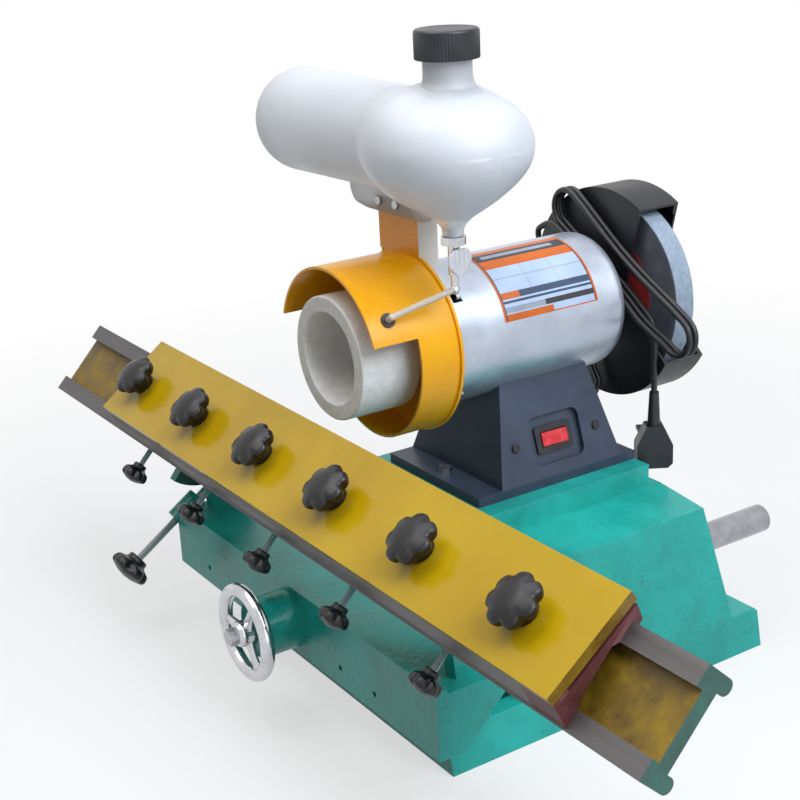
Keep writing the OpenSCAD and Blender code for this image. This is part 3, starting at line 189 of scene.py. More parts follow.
@dataclass(frozen=True)
class Finish:
    """One real material: a mottled colour, a mottled gloss and a relief.

    The colour runs between three hex values over a soft cloud of one size, dirt darkens
    it over a larger cloud, and a fine cloud of another size gives the relief. Sizes are
    in millimetres.
    """

    name: str
    low: str
    mid: str
    high: str
    roughness: tuple[float, float]
    mottle_mm: float = 60.0
    relief_mm: float = 3.0
    relief: float = 0.1
    metallic: float = 0.0
    ior: float = 1.5
    grain: Grain = Grain.EVEN
    dirt: float = 0.0
    dirt_hex: str = "2a2418"
    dirt_mm: float = 90.0
    flecks: float = 0.0
    fleck_hex: str = "1c1a18"
    fleck_mm: float = 5.0
    translucent: float = 0.0
    clear: float = 0.0
    scatter: Point = (0.030, 0.033, 0.036)
    relief_depth: float = 0.25

    @cache
    def build(self) -> bpy.types.Material:
        """Make the node material, once for each finish.

        Returns:
            The material, named for the finish.
        """
        mat = bpy.data.materials.new(self.name)
        mat.use_nodes = True
        tree = mat.node_tree
        tree.nodes.clear()
        coords = add_node(tree, "ShaderNodeTexCoord").outputs["Object"]
        placed = add_node(tree, "ShaderNodeMapping", {"Scale": self.grain.value},
                          {"Vector": coords}).outputs["Vector"]
        mottle = clouds(tree, placed, self.mottle_mm, detail=5.0, rough=0.6)
        colour = ramp(tree, mottle, [(0.30, linear(self.low)), (0.5, linear(self.mid)), (0.70, linear(self.high))])
        if self.dirt:
            cloud = clouds(tree, coords, self.dirt_mm, detail=8.0, rough=0.7)
            share = ramp(tree, cloud, [(0.45, grey(0.0)), (0.75, grey(self.dirt))])
            colour = stained(tree, share, colour, self.dirt_hex)
        if self.flecks:
            cells = add_node(tree, "ShaderNodeTexVoronoi", {"Scale": 1.0 / (self.fleck_mm * MM), "Randomness": 1.0},
                             {"Vector": coords}).outputs["Distance"]
            gate = clouds(tree, coords, self.fleck_mm / 0.3, detail=2.0, rough=0.5)
            near = ramp(tree, cells, [(0.10, grey(1.0)), (0.22, grey(0.0))])
            some = ramp(tree, gate, [(0.55, grey(0.0)), (0.62, grey(self.flecks))])
            both = add_node(tree, "ShaderNodeMath", links={0: near, 1: some}, operation="MULTIPLY").outputs[0]
            colour = stained(tree, both, colour, self.fleck_hex)
        gloss = ramp(tree, mottle, [(0.35, grey(self.roughness[0])), (0.65, grey(self.roughness[1]))])
        fine = clouds(tree, placed, self.relief_mm, detail=3.0, rough=0.55)
        depth = self.relief_depth * self.relief_mm * MM
        bump = add_node(tree, "ShaderNodeBump", {"Strength": self.relief, "Distance": depth},
                        {"Height": fine}).outputs["Normal"]
        shader = add_node(
            tree, "ShaderNodeBsdfPrincipled",
            {"Metallic": self.metallic, "IOR": self.ior, "Transmission Weight": self.clear,
             "Subsurface Weight": self.translucent, "Subsurface Radius": self.scatter,
             "Subsurface Scale": 1.0},
            {"Base Color": colour, "Roughness": gloss, "Normal": bump})
        add_node(tree, "ShaderNodeOutputMaterial", links={"Surface": shader.outputs["BSDF"]})
        return mat


def ink(name: str, *shades: str) -> Finish:
    """Printed ink of the motor's label: smooth and even.

    Args:
        name: the colour's name.
        shades: its three hex values.

    Returns:
        The finish.
    """
    return Finish(f"printed_{name}", *shades, (0.30, 0.38), mottle_mm=30, relief_mm=1, relief=0.02)


# Glossy enamel brushed on cast iron: a slightly lumpy skin that mirrors windows softly.
CAST_ENAMEL = Finish("teal_enamel_on_cast_iron", "1a978b", "20a598", "27b2a5", (0.24, 0.38), mottle_mm=70,
                     relief_mm=7, relief=0.30, ior=1.45, dirt=0.35, dirt_hex="0f4a44", flecks=0.6, fleck_mm=6)
# The same enamel on the bed's sawn ends, darker and duller: painted shade on faces that look along X.
SHADED_END_ENAMEL = Finish("teal_enamel_painted_shade", "24493f", "2f5a4f", "396a5e", (0.40, 0.55), mottle_mm=25, relief_mm=4,
                     relief=0.25, dirt=0.5, dirt_hex="16332e", flecks=0.5, fleck_mm=5)
# Poured gloss enamel on ground plate: the knobs mirror in it.
PLATE_ENAMEL = Finish("yellow_enamel_on_steel_plate", "b89206", "bf9b09", "c6a410", (0.15, 0.22), mottle_mm=140,
                      relief_mm=5, relief=0.02, ior=1.45, dirt=0.2, dirt_hex="b0800a")
# The plate's cut ends: the same enamel, darker: painted shade.
SHADED_PLATE_END = Finish("yellow_plate_end_painted_shade", "6a5010", "7d6014", "8d6e1a", (0.35, 0.5), mottle_mm=14, relief_mm=2,
                    relief=0.15, dirt=0.6, dirt_hex="2a2010", dirt_mm=30)
# Powder coat on thin sheet: even, bright and satin.
HOOD_ENAMEL = Finish("yellow_powder_coat_on_sheet", "eca200", "f2aa02", "f7b208", (0.24, 0.34), mottle_mm=80,
                     relief_mm=1.6, relief=0.05, ior=1.45)
# The bracket's folded sides, pale, flat and slightly warm: a painted highlight of the lit yellow sheet.
LIT_FOLD_PAINT = Finish("bracket_fold_painted_highlight", "d0ccc2", "d8d4cb", "dfdcd4", (0.45, 0.6), mottle_mm=30, relief_mm=1.6,
                     relief=0.05)
# Red oxide primer: dull and chalky, thin over the iron.
RED_PRIMER = Finish("red_oxide_primer", "451a1b", "512122", "5e2829", (0.50, 0.66), mottle_mm=30, relief_mm=3,
                    relief=0.25, dirt=0.5, dirt_hex="241414")
# Smooth slate paint on pressed steel: bluish, with a low sheen.
SLATE_PAINT = Finish("slate_paint_on_pressed_steel", "2d3646", "343e4f", "3b4658", (0.36, 0.48), mottle_mm=50,
                     relief_mm=1.2, relief=0.10, ior=1.45, dirt=0.3, dirt_hex="22272f")
# Black stove enamel on spun sheet.
BLACK_PAINT = Finish("black_stove_enamel", "101113", "15161a", "1c1e22", (0.34, 0.5), mottle_mm=60, relief_mm=1.5,
                     relief=0.08)
# Silver lacquer over die-cast aluminium: a soft pale metal.
SILVER_LACQUER = Finish("silver_lacquer_on_aluminium", "aeb6c2", "b9c1cd", "c4ccd7", (0.30, 0.40), mottle_mm=40,
                        relief_mm=0.9, relief=0.05, metallic=0.7)
# Ground steel rails: dull grey with the marks of the grinder along X.
RAIL_STEEL = Finish("ground_steel_rails", "5a5757", "656262", "706d6d", (0.44, 0.58), mottle_mm=14, relief_mm=1.5,
                    relief=0.10, metallic=0.6, grain=Grain.ALONG_X, dirt=0.35, dirt_hex="4a4645")
# Turned bright steel: rings of the lathe run round, so the grain is even here.
TURNED_STEEL = Finish("turned_steel", "9b9c9e", "abacae", "babbbd", (0.22, 0.36), mottle_mm=10, relief_mm=1.0,
                      relief=0.06, metallic=1.0)
# Centreless-ground rod: bright, with fine rings that blur what it mirrors.
ROD_STEEL = Finish("ground_bright_rod", "94969b", "a0a2a7", "acaeb3", (0.18, 0.28), mottle_mm=16, relief_mm=1.2,
                   relief=0.06, metallic=1.0)
# Zinc plate on the adjusters' and the lock's stems: pale and cloudy.
ZINC_PLATE = Finish("zinc_plated_steel", "c2c4c8", "cccdd1", "d5d6d9", (0.34, 0.44), mottle_mm=12, relief_mm=1.0,
                    relief=0.05, metallic=0.4)
# Bright plating on the handwheel and the tap.
BRIGHT_PLATE = Finish("bright_nickel_plate", "b9babd", "c6c7ca", "d3d4d6", (0.10, 0.22), mottle_mm=18, relief_mm=2,
                      relief=0.03, metallic=1.0)
# Laminated iron and the dark inside of the motor.
CORE_IRON = Finish("laminated_iron", "3a3a3d", "454548", "505053", (0.5, 0.65), mottle_mm=12, relief_mm=0.8,
                   relief=0.2, metallic=0.8, grain=Grain.ALONG_X)
# Varnished winding wire: warm and streaky.
COIL_COPPER = Finish("varnished_copper_wire", "7a3c18", "955026", "ad6636", (0.3, 0.45), mottle_mm=5, relief_mm=1.2,
                     relief=0.4, metallic=0.8)
# Turned bronze: a dull warm metal in the bushes.
BUSH_BRONZE = Finish("turned_bronze", "8f6a2c", "a07a38", "b08a48", (0.28, 0.4), mottle_mm=9, relief_mm=1.0,
                     relief=0.06, metallic=1.0)
# Phenolic knobs: near-black, moulded, with a waxy shine.
KNOB_PLASTIC = Finish("moulded_phenolic", "0b0b0d", "0f0f12", "141417", (0.30, 0.42), mottle_mm=25, relief_mm=1.4,
                      relief=0.06, ior=1.45)
# Textured black plastic of the plug, the cap and the switch's frame.
BLACK_PLASTIC = Finish("moulded_black_abs", "121317", "181a1f", "202329", (0.32, 0.44), mottle_mm=20, relief_mm=0.9,
                       relief=0.10)
# Soft jacket of the mains cord.
CORD_RUBBER = Finish("pvc_cord_jacket", "111113", "17171a", "1e1e21", (0.36, 0.48), mottle_mm=14, relief_mm=1.0,
                     relief=0.08)
# Clear red plastic of the rocker, smooth enough to glint.
SWITCH_RED = Finish("red_polycarbonate", "c01018", "d8202a", "f04048", (0.12, 0.2), mottle_mm=9, relief_mm=1.0,
                    relief=0.03, ior=1.58)
# Natural polyethylene, blow moulded: milky, it lets light through its thin wall.
TANK_POLY = Finish("natural_polyethylene", "e4e9f0", "ebeff4", "f0f3f7", (0.36, 0.46), mottle_mm=90, relief_mm=9,
                   relief=0.05, ior=1.51, translucent=0.6, clear=0.4)
# Clear tube gone slightly yellow.
CLEAR_VINYL = Finish("aged_clear_vinyl", "d8c9b4", "e2d5c2", "eadfce", (0.18, 0.28), mottle_mm=10, relief_mm=1,
                     relief=0.03, translucent=0.3)
# Vitrified white corundum; grit is about 0.3 mm and is drawn coarser so that it shows.
WHITE_CORUNDUM = Finish("vitrified_white_corundum", "dcdcd8", "e6e6e3", "efefed", (0.75, 0.9), mottle_mm=8,
                        relief_mm=1.6, relief=0.6, flecks=0.25, fleck_hex="a8a69c", fleck_mm=2.5)
# Grey corundum of the straight wheel, bluish, with the same coarse drawing.
GREY_CORUNDUM = Finish("vitrified_grey_corundum", "83919f", "909eac", "9facb9", (0.75, 0.9), mottle_mm=6,
                       relief_mm=1.8, relief=0.7, flecks=0.35, fleck_hex="66727e", fleck_mm=2.8)
# The straight wheel's flat sides, darker: painted shade.
SHADED_SIDE_CORUNDUM = Finish("grey_corundum_sides_painted_shade", "4d5058", "585b64", "646872", (0.75, 0.9), mottle_mm=14,
                       relief_mm=1.8, relief=0.5)
# Paper blotter between wheel and flange.
LABEL_RED = Finish("red_paper_blotter", "8f1d1d", "a32424", "b22e2e", (0.6, 0.75), mottle_mm=12, relief_mm=0.8,
                   relief=0.1)
# The channel between the rails: old yellow enamel under oil and grit.
DIRTY_CHANNEL = Finish("oily_yellow_enamel", "5f4a0a", "7d620f", "987c18", (0.42, 0.62), mottle_mm=22, relief_mm=2.5,
                       relief=0.35, dirt=0.8, dirt_hex="33280e", dirt_mm=34, flecks=0.8, fleck_mm=5)
# Inks of the motor's label: coloured bands only.
LABEL_INKS = (ink("orange", "bb5508", "c35c0b", "cb6410"), ink("black", "201d22", "272429", "2e2a30"),
              ink("pale_blue", "a3b6cf", "abbed6", "b4c6dc"), ink("navy", "253850", "2b3f58", "324763"),
              ink("grey", "838d99", "8d97a3", "97a1ad"))


def paint(obj: bpy.types.Object, *finishes: Finish) -> None:
    """Give an object its finishes, one per material slot.

    Args:
        obj: the object.
        finishes: the finishes in slot order.
    """
    # To clear an empty list would still set every face to the first slot.
    if obj.data.materials:
        obj.data.materials.clear()
    for finish in finishes:
        obj.data.materials.append(finish.build())


# Mesh helpers


def mesh_object(name: str, verts: Array, faces: Array | list, numbers: Array | None = None) -> bpy.types.Object:
    """Make a smooth shaded object from arrays, merge its poles and turn its faces outwards.

    Args:
        name: the piece's name.
        verts: points, (n, 3), metres.
        faces: vertex indices of each face.
        numbers: the finish number of each face.

    Returns:
        The linked object, at the origin.
    """
    mesh = bpy.data.meshes.new(name)
    mesh.from_pydata(np.asarray(verts, float).tolist(), [], np.asarray(faces).tolist())
    if numbers is not None:
        mesh.polygons.foreach_set("material_index", numbers.astype(np.int32))
    work = bmesh.new()
    work.from_mesh(mesh)
    bmesh.ops.remove_doubles(work, verts=work.verts, dist=WELD)
    bmesh.ops.recalc_face_normals(work, faces=work.faces)
    work.to_mesh(mesh)
    work.free()
    mesh.polygons.foreach_set("use_smooth", np.ones(len(mesh.polygons), bool))
    obj = bpy.data.objects.new(name, mesh)
    bpy.context.scene.collection.objects.link(obj)
    return obj


def grid_faces(rows: int, cols: int, wrap: bool = True) -> Array:
    """Quads of a grid of points.

    Args:
        rows: number of rows.
        cols: number of columns.
        wrap: join the last column to the first.

    Returns:
        Indices, (m, 4).
    """
    a, b = np.meshgrid(np.arange(rows - 1), np.arange(cols if wrap else cols - 1), indexing="ij")
    a2, b2 = a + 1, (b + 1) % cols
    return np.stack([a * cols + b, a2 * cols + b, a2 * cols + b2, a * cols + b2], -1).reshape(-1, 4)


def frame_matrix(origin: Point | Array, z_axis: Point | Array) -> Array:
    """Matrix of a local frame from its origin and its z axis, with local x as near to X as it can be.

    Args:
        origin: the frame's origin.
        z_axis: direction of local z, not X itself.

    Returns:
        A 4 by 4 matrix from the local frame to the machine's.
    """
    z = np.asarray(z_axis, float)
    z /= np.linalg.norm(z)
    x = np.array([1.0, 0.0, 0.0]) - z[0] * z
    x /= np.linalg.norm(x)
    out = np.eye(4)
    out[:3, 0], out[:3, 1], out[:3, 2], out[:3, 3] = x, np.cross(z, x), z, origin
    return out


def carry(matrix: Array, points: Array) -> Array:
    """Move points of a local frame to the machine's frame."""
    return points @ matrix[:3, :3].T + matrix[:3, 3]


def lathe(profile: Array, steps: int, swell: Callable[[Array, Array, Array], Array] | None = None) -> Surface:
    """Turn a profile about local z: point (r, z) at angle t goes to (r cos t, r sin t, z).

    Args:
        profile: radius and height of each point, (m, 2).
        steps: number of angles round the axis.
        swell: function of radius, height and angle that gives the radius, or None.

    Returns:
        Points, (m * steps, 3), and faces.
    """
    angle = np.linspace(0, 2 * np.pi, steps, endpoint=False)
    r, t = np.meshgrid(profile[:, 0], angle, indexing="ij")
    z = np.repeat(profile[:, 1:2], steps, axis=1)
    if swell is not None:
        r = swell(r, z, t)
    points = np.stack([r * np.cos(t), r * np.sin(t), z], -1).reshape(-1, 3)
    return points, grid_faces(len(profile), steps)


def joined(parts: list[Surface]) -> Surface:
    """Put several surfaces into one list of points and quads.

    Args:
        parts: points and faces of each surface.

    Returns:
        All points and all faces.
    """
    starts = np.cumsum([0] + [len(p) for p, _ in parts[:-1]])
    return np.concatenate([p for p, _ in parts]), np.concatenate([f + k for (_, f), k in zip(parts, starts)])


def rounded(corners: list[tuple[float, float]], radius: float, steps: int = 5) -> Array:
    """Open profile with its inner corners rounded by arcs drawn as quadratic curves.

    Args:
        corners: the profile's corners.
        radius: how far along each side the round begins.
        steps: points on each round.

    Returns:
        The rounded profile, (m, 2).
    """
    c = np.asarray(corners, float)
    out = [c[:1]]
    t = np.linspace(0, 1, steps)[:, None]
    for a, b, d in zip(c[:-2], c[1:-1], c[2:]):
        ra = min(radius, 0.45 * np.linalg.norm(a - b))
        rd = min(radius, 0.45 * np.linalg.norm(d - b))
        p = b + (a - b) * ra / max(np.linalg.norm(a - b), 1e-12)
        q = b + (d - b) * rd / max(np.linalg.norm(d - b), 1e-12)
        out.append((1 - t) ** 2 * p + 2 * t * (1 - t) * b + t**2 * q)
    out.append(c[-1:])
    return np.concatenate(out)


def tube_along(path: Array, radius: float, sides: int, hints: Array) -> Surface:
    """Round tube along a path: each ring lies square to the path's direction there.

    Args:
        path: centre points, (n, 3).
        radius: the tube's radius.
        sides: points on each ring.
        hints: for each point a direction that the ring starts from, (n, 3).

    Returns:
        Points and faces; the ends are closed by points on the path.
    """
    ahead = np.gradient(path, axis=0)
    ahead /= np.linalg.norm(ahead, axis=1, keepdims=True)
    side = hints - np.sum(hints * ahead, 1, keepdims=True) * ahead
    side /= np.linalg.norm(side, axis=1, keepdims=True)
    other = np.cross(ahead, side)
    t = np.linspace(0, 2 * np.pi, sides, endpoint=False)
    rings = (path[:, None] + radius * (side[:, None] * np.cos(t)[None, :, None]
                                       + other[:, None] * np.sin(t)[None, :, None]))
    closed = [np.repeat(path[k, None, None], sides, axis=1) for k in (0, -1)]
    rings = np.concatenate([closed[0], rings, closed[1]])
    return rings.reshape(-1, 3), grid_faces(len(rings), sides)


def smooth_path(points: Array, steps: int) -> Array:
    """Catmull-Rom curve through points, with a number of steps between neighbours.

    Args:
        points: the points, (n, 3).
        steps: steps between neighbours.

    Returns:
        The finer path, ending on the last point.
    """
    before = np.concatenate([points[:1], points[:-2]])
    here, after = points[:-1], points[1:]
    beyond = np.concatenate([points[2:], points[-1:]])
    t = (np.arange(steps) / steps)[None, :, None]
    a, b, c, d = (v[:, None] for v in (before, here, after, beyond))
    curve = 0.5 * (2 * b + (c - a) * t + (2 * a - 5 * b + 4 * c - d) * t**2 + (3 * b - a - 3 * c + d) * t**3)
    return np.concatenate([curve.reshape(-1, 3), points[-1:]])


@dataclass
class Workshop:
    """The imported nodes, with the body and the material slot of each, and how their edges are eased."""

    nodes: dict[str, bpy.types.Object]
    bodies: dict[str, str]
    slots: dict[str, str]
    weld: float = 2e-6
    flat_deg: float = 0.6
    edge_deg: float = 30.0
    shading_weight: int = 60

    def dress(self, finish: Finish, *nodes: str) -> None:
        """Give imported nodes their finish.

        Args:
            finish: the finish.
            nodes: the nodes' names.
        """
        for node in nodes:
            paint(self.nodes[node], finish)
            LOG.info("finished node %s", node)

    def add(self, piece: bpy.types.Object, finishes: tuple[Finish, ...], *nodes: str, body: str = "",
            slot: str = "") -> None:
        """Paint a new piece, let it ride on a body and say which nodes it stands for.

        Args:
            piece: the new object.
            finishes: its finishes in slot order.
            nodes: nodes that it stands for; it takes the first one's body.
            body: the body of a piece that stands for no node.
            slot: the material slot of such a piece; not used.
        """
        paint(piece, *finishes)
        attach(piece, body or self.bodies[nodes[0]])
        if nodes:
            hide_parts(*nodes)
        LOG.info("added %s", piece.name)

    def eased(self, node: str, width_mm: float, *finishes: Finish, segments: int = 3,
              choose: Callable[[Array, Array], Array] | None = None, cut_x: float | None = None) -> bpy.types.Object:
        """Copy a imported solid, clean its flats and round its edges.

        Args:
            node: the node to copy and stand for.
            width_mm: how far each round reaches.
            finishes: the finishes of the piece.
            segments: steps of each round.
            choose: from face centres and normals, the finish number of each face.
            cut_x: where faces are split across X, in metres, so that a finish can end there.

        Returns:
            The piece that stands for the node.
        """
        mesh = self.nodes[node].data.copy()
        mesh.name = f"{node}_eased"
        work = bmesh.new()
        work.from_mesh(mesh)
        bmesh.ops.remove_doubles(work, verts=work.verts, dist=self.weld)
        bmesh.ops.dissolve_limit(work, angle_limit=math.radians(self.flat_deg), verts=work.verts, edges=work.edges)
        if cut_x is not None:
            every = work.verts[:] + work.edges[:] + work.faces[:]
            bmesh.ops.bisect_plane(work, geom=every, plane_co=(cut_x, 0, 0), plane_no=(1, 0, 0))
        work.to_mesh(mesh)
        work.free()
        count = len(mesh.polygons)
        mesh.polygons.foreach_set("use_smooth", np.ones(count, bool))
        piece = bpy.data.objects.new(f"{node}_eased", mesh)
        bpy.context.scene.collection.objects.link(piece)
        bevel = piece.modifiers.new("eased_edges", "BEVEL")
        bevel.width, bevel.segments = width_mm * MM, segments
        bevel.limit_method, bevel.angle_limit = "ANGLE", math.radians(self.edge_deg)
        bevel.miter_outer = "MITER_ARC"
        piece.modifiers.new("even_shading", "WEIGHTED_NORMAL").weight = self.shading_weight
        self.add(piece, finishes, node)
        if choose is not None:
            centres, normals = np.zeros(3 * count), np.zeros(3 * count)
            mesh.polygons.foreach_get("center", centres)
            mesh.polygons.foreach_get("normal", normals)
            numbers = choose(centres.reshape(-1, 3), normals.reshape(-1, 3))
            mesh.polygons.foreach_set("material_index", numbers.astype(np.int32))
        return piece


# Stage


@dataclass(frozen=True)
class Photographer:
    """The camera at the photograph's place, and the plain studio round the machine.

    Each lamp has a name, a place, a side in metres, a power in watts and a tint. The floor
    glows white where the camera sees it, less so near the machine, where it keeps its shadow.
    """

    place: Point = (1.1742, -0.8664, 0.7985)
    right: Point = (0.5520, 0.8326, -0.0460)
    up: Point = (-0.2574, 0.2226, 0.9405)
    ahead: Point = (-0.7932, 0.5073, -0.3371)
    sensor_mm: float = 36.0
    lens_mm: float = 66.9
    clip: tuple[float, float] = (0.05, 50.0)
    aim: Point = (0.0, -0.05, 0.3)
    lamps: tuple[tuple[str, Point, float, float, str], ...] = (
        ("window_right", (2.0, 0.35, 2.3), 1.9, 84.0, "eef4ff"), ("low_right", (3.2, -0.4, 0.6), 1.6, 16.0, "eaf2ff"),
        ("front_fill", (-0.4, -1.6, 2.8), 1.6, 18.0, "fff4e6"), ("skylight", (-0.3, -0.2, 2.7), 2.2, 36.0, "f4f7ff"))
    room_level: float = 0.20
    floor_reach: float = 30.0
    shadow_ends: tuple[float, float] = (0.6, 1.5)
    shadow_glow: float = 0.62

    def set_camera(self) -> None:
        """Put the camera where the photograph was taken from."""
        data = bpy.data.cameras.new("photo_camera")
        data.sensor_width, data.lens = self.sensor_mm, self.lens_mm
        data.clip_start, data.clip_end = self.clip
        camera = bpy.data.objects.new("photo_camera", data)
        turn = Matrix((self.right, self.up, tuple(-v for v in self.ahead))).transposed()
        camera.matrix_world = Matrix.Translation(self.place) @ turn.to_4x4()
        bpy.context.scene.collection.objects.link(camera)
        bpy.context.scene.camera = camera

    def set_lamps(self) -> None:
        """Hang the soft square lamps, all turned to the machine."""
        for name, place, size, watts, tint in self.lamps:
            data = bpy.data.lights.new(name, "AREA")
            data.size, data.energy, data.color = size, watts, linear(tint)[:3]
            lamp = bpy.data.objects.new(name, data)
            lamp.location = place
            lamp.rotation_euler = (Vector(self.aim) - Vector(place)).to_track_quat("-Z", "Y").to_euler()
            bpy.context.scene.collection.objects.link(lamp)

    def by_ray(self, tree: bpy.types.NodeTree, unseen: bpy.types.Node, seen: bpy.types.Node) -> bpy.types.NodeSocket:
        """Shader that changes with the ray: rays from the camera, off gloss or through glass see the white room.

        Args:
            tree: the node tree.
            unseen: the shader for other rays.
            seen: the shader for those rays.

        Returns:
            The mixed shader's socket.
        """
        rays = add_node(tree, "ShaderNodeLightPath").outputs
        share = rays["Is Camera Ray"]
        for ray in ("Is Glossy Ray", "Is Transmission Ray"):
            share = add_node(tree, "ShaderNodeMath", links={0: share, 1: rays[ray]}, operation="MAXIMUM").outputs[0]
        return add_node(tree, "ShaderNodeMixShader",
                        links={0: share, 1: unseen.outputs[0], 2: seen.outputs[0]}).outputs[0]

    def set_room(self) -> None:
        """Light the room evenly and dimly, and show it white."""
        scene = bpy.context.scene
        scene.view_settings.view_transform = "Standard"
        scene.world = bpy.data.worlds.new("pale_room")
        scene.world.use_nodes = True
        tree = scene.world.node_tree
        tree.nodes.clear()
        dim = add_node(tree, "ShaderNodeBackground", {"Color": linear("e2e9f2"), "Strength": self.room_level})
        white = add_node(tree, "ShaderNodeBackground", {"Color": linear("ffffff"), "Strength": 1.0})
        add_node(tree, "ShaderNodeOutputWorld", links={"Surface": self.by_ray(tree, dim, white)})

    def set_floor(self) -> None:
        """Lay the pale floor."""
        corners = [[x * self.floor_reach, y * self.floor_reach, 0] for x, y in ((-1, -1), (1, -1), (1, 1), (-1, 1))]
        floor = mesh_object("pale_floor", np.array(corners), [[0, 1, 2, 3]])
        mat = bpy.data.materials.new("pale_floor")
        mat.use_nodes = True
        tree = mat.node_tree
        tree.nodes.clear()
        spot = add_node(tree, "ShaderNodeTexCoord").outputs["Object"]
        away = add_node(tree, "ShaderNodeVectorMath", links={0: spot}, operation="LENGTH").outputs["Value"]
        near, far = self.shadow_ends
        share = add_node(tree, "ShaderNodeMapRange", {"From Min": near, "From Max": far, "To Min": self.shadow_glow,
                                                      "To Max": 1.0}, {"Value": away}).outputs[0]
        paper = add_node(tree, "ShaderNodeBsdfDiffuse", {"Color": linear("8e8e8e")})
        pale = add_node(tree, "ShaderNodeBsdfDiffuse", {"Color": linear("e0e0e0")})
        glow = add_node(tree, "ShaderNodeEmission", {"Color": linear("ffffff"), "Strength": 1.0})
        both = add_node(tree, "ShaderNodeMixShader", links={0: share, 1: pale.outputs[0], 2: glow.outputs[0]})
        add_node(tree, "ShaderNodeOutputMaterial", links={"Surface": self.by_ray(tree, paper, both)})
        floor.data.materials.append(mat)


# Sub-assemblies


@dataclass
class MainsCord:
    """Lead, hank and tail of the mains cord, as one tube, with its plug.

    The hank is two and a half turns of a flat loop: two long runs, drawn in at the waist,
    and two half-round folds. Sizes in millimetres.
    """

    diameter: float = 6.5
    hub: tuple[float, float] = (0.0, 360.0)
    level: float = 130.0
    layer: float = 8.0
    slope: float = -31.5
    shift: float = 15.5
    off: float = 48.65
    half: float = 100.0
    width: float = 20.0
    waist: float = 5.0
    start: float = -90.0
    end: float = 50.0
    gland: Point = (0.0, 99.568, 233.0)
    gland_slope: float = 21.5 / 95
    lead_out: float = 23.0
    bend: float = 27.0
    tail_bend: float = 30.0
    tail_drop: float = 58.0
    relief: float = 1.8
    sides: int = 12
    rings: int = 620
    least_step: float = 0.2
    hint_turn: tuple[float, float] = (50.0, 110.0)
    run_steps: int = 40
    fold_steps: int = 18
    path_steps: int = 8
    rise: tuple[Point, ...] = ((-5, 142, 272), (-16, 141, 291), (-32, 139, 317), (-50, 136.5, 344), (-67, 133.5, 368),
                               (-80, 131, 391))
    plug_ease: float = 2.2

    @property
    def run_dir(self) -> Array:
        """Direction along the runs."""
        a = math.radians(self.slope)
        return np.array([math.cos(a), 0, math.sin(a)])

    @property
    def across_dir(self) -> Array:
        """Direction across the runs, upwards."""
        a = math.radians(self.slope)
        return np.array([-math.sin(a), 0, math.cos(a)])

    def place(self, a: Array, v: Array, layer: Array) -> Array:
        """Points of the hank from their place along, across and in depth.

        Args:
            a: distance along the runs.
            v: distance across them.
            layer: layer number, with parts of a layer.

        Returns:
            Points, (n, 3), millimetres.
        """
        hub = np.array([self.hub[0], self.level, self.hub[1]])
        middle = hub + self.shift * self.run_dir + self.off * self.across_dir
        depth = np.zeros((len(a), 3))
        depth[:, 1] = self.layer * layer
        return middle + a[:, None] * self.run_dir + v[:, None] * self.across_dir + depth

    def half_width(self, a: Array) -> Array:
        """Half width of the hank along its runs: full at the folds, drawn in between."""
        return self.width - self.waist * (1 - (a / self.half) ** 2) ** 2

    def climb(self, a: Array) -> Array:
        """Share of a layer climbed along a lower run: a smooth step past the tail's end."""
        t = np.clip((a - self.end) / (self.half - self.end), 0, 1)
        return t * t * (3 - 2 * t)

    def hank(self) -> Array:
        """Centre line of the hank, from the lead to the tail.

        Returns:
            Points, (n, 3), millimetres.
        """
        out = []
        t = np.linspace(0, np.pi, self.fold_steps)[1:-1]
        for layer, (a0, a1) in enumerate(((self.start, self.half), (-self.half, self.half), (-self.half, self.end))):
            a = np.linspace(a0, a1, self.run_steps)
            out.append(self.place(a, -self.half_width(a), layer + self.climb(a)))
            if layer == 2:
                break
            up = np.full(len(t), layer + 1.0)
            out.append(self.place(self.half + self.width * np.sin(t), -self.width * np.cos(t), up))
            b = np.linspace(self.half, -self.half, self.run_steps)
            out.append(self.place(b, self.half_width(b), np.full(len(b), layer + 1.0)))
            out.append(self.place(-self.half - self.width * np.sin(t), self.width * np.cos(t), up))
        return np.concatenate(out)

    def lead(self, join: Array) -> Array:
        """Centre line from the gland's tip up the left side and over into the first run.

        Args:
            join: the hank's first point.

        Returns:
            Points, (n, 3), millimetres, without the join itself.
        """
        tilt = math.atan(self.gland_slope)
        out = np.array([0, math.cos(tilt), math.sin(tilt)])
        up = np.array([0, -math.sin(tilt), math.cos(tilt)])
        t = np.radians(np.arange(0, 73, 24))[:, None]
        start = np.array(self.gland)
        turn = start + (self.lead_out + self.bend * np.sin(t)) * out + self.bend * (1 - np.cos(t)) * up
        over = np.radians(np.arange(180, 89, -22.5))[:, None]
        top = join + self.bend * (np.cos(over) * self.run_dir + (np.sin(over) - 1) * self.across_dir)
        tip = start + (self.lead_out - 1.0) * out
        return smooth_path(np.concatenate([tip[None], turn, np.array(self.rise, float), top]), self.path_steps)[:-1]

    def tail(self, last: Array, before: Array) -> Array:
        """Centre line round the bend out of the last run and down to the plug.

        Args:
            last: the hank's last point.
            before: the point before it.

        Returns:
            Points, (n, 3), millimetres, without the hank's own.
        """
        heading = math.atan2(last[2] - before[2], last[0] - before[0])
        a = np.linspace(heading, -np.pi / 2, 14) + np.pi / 2
        arc = np.stack([np.cos(a), 0 * a, np.sin(a)], -1)
        turn = last + self.tail_bend * (arc - arc[0])
        drop = np.linspace(0, self.tail_drop + self.relief, 12)[1:]
        down = turn[-1] - np.stack([0 * drop, 0 * drop, drop], -1)
        return np.concatenate([turn[1:], down])

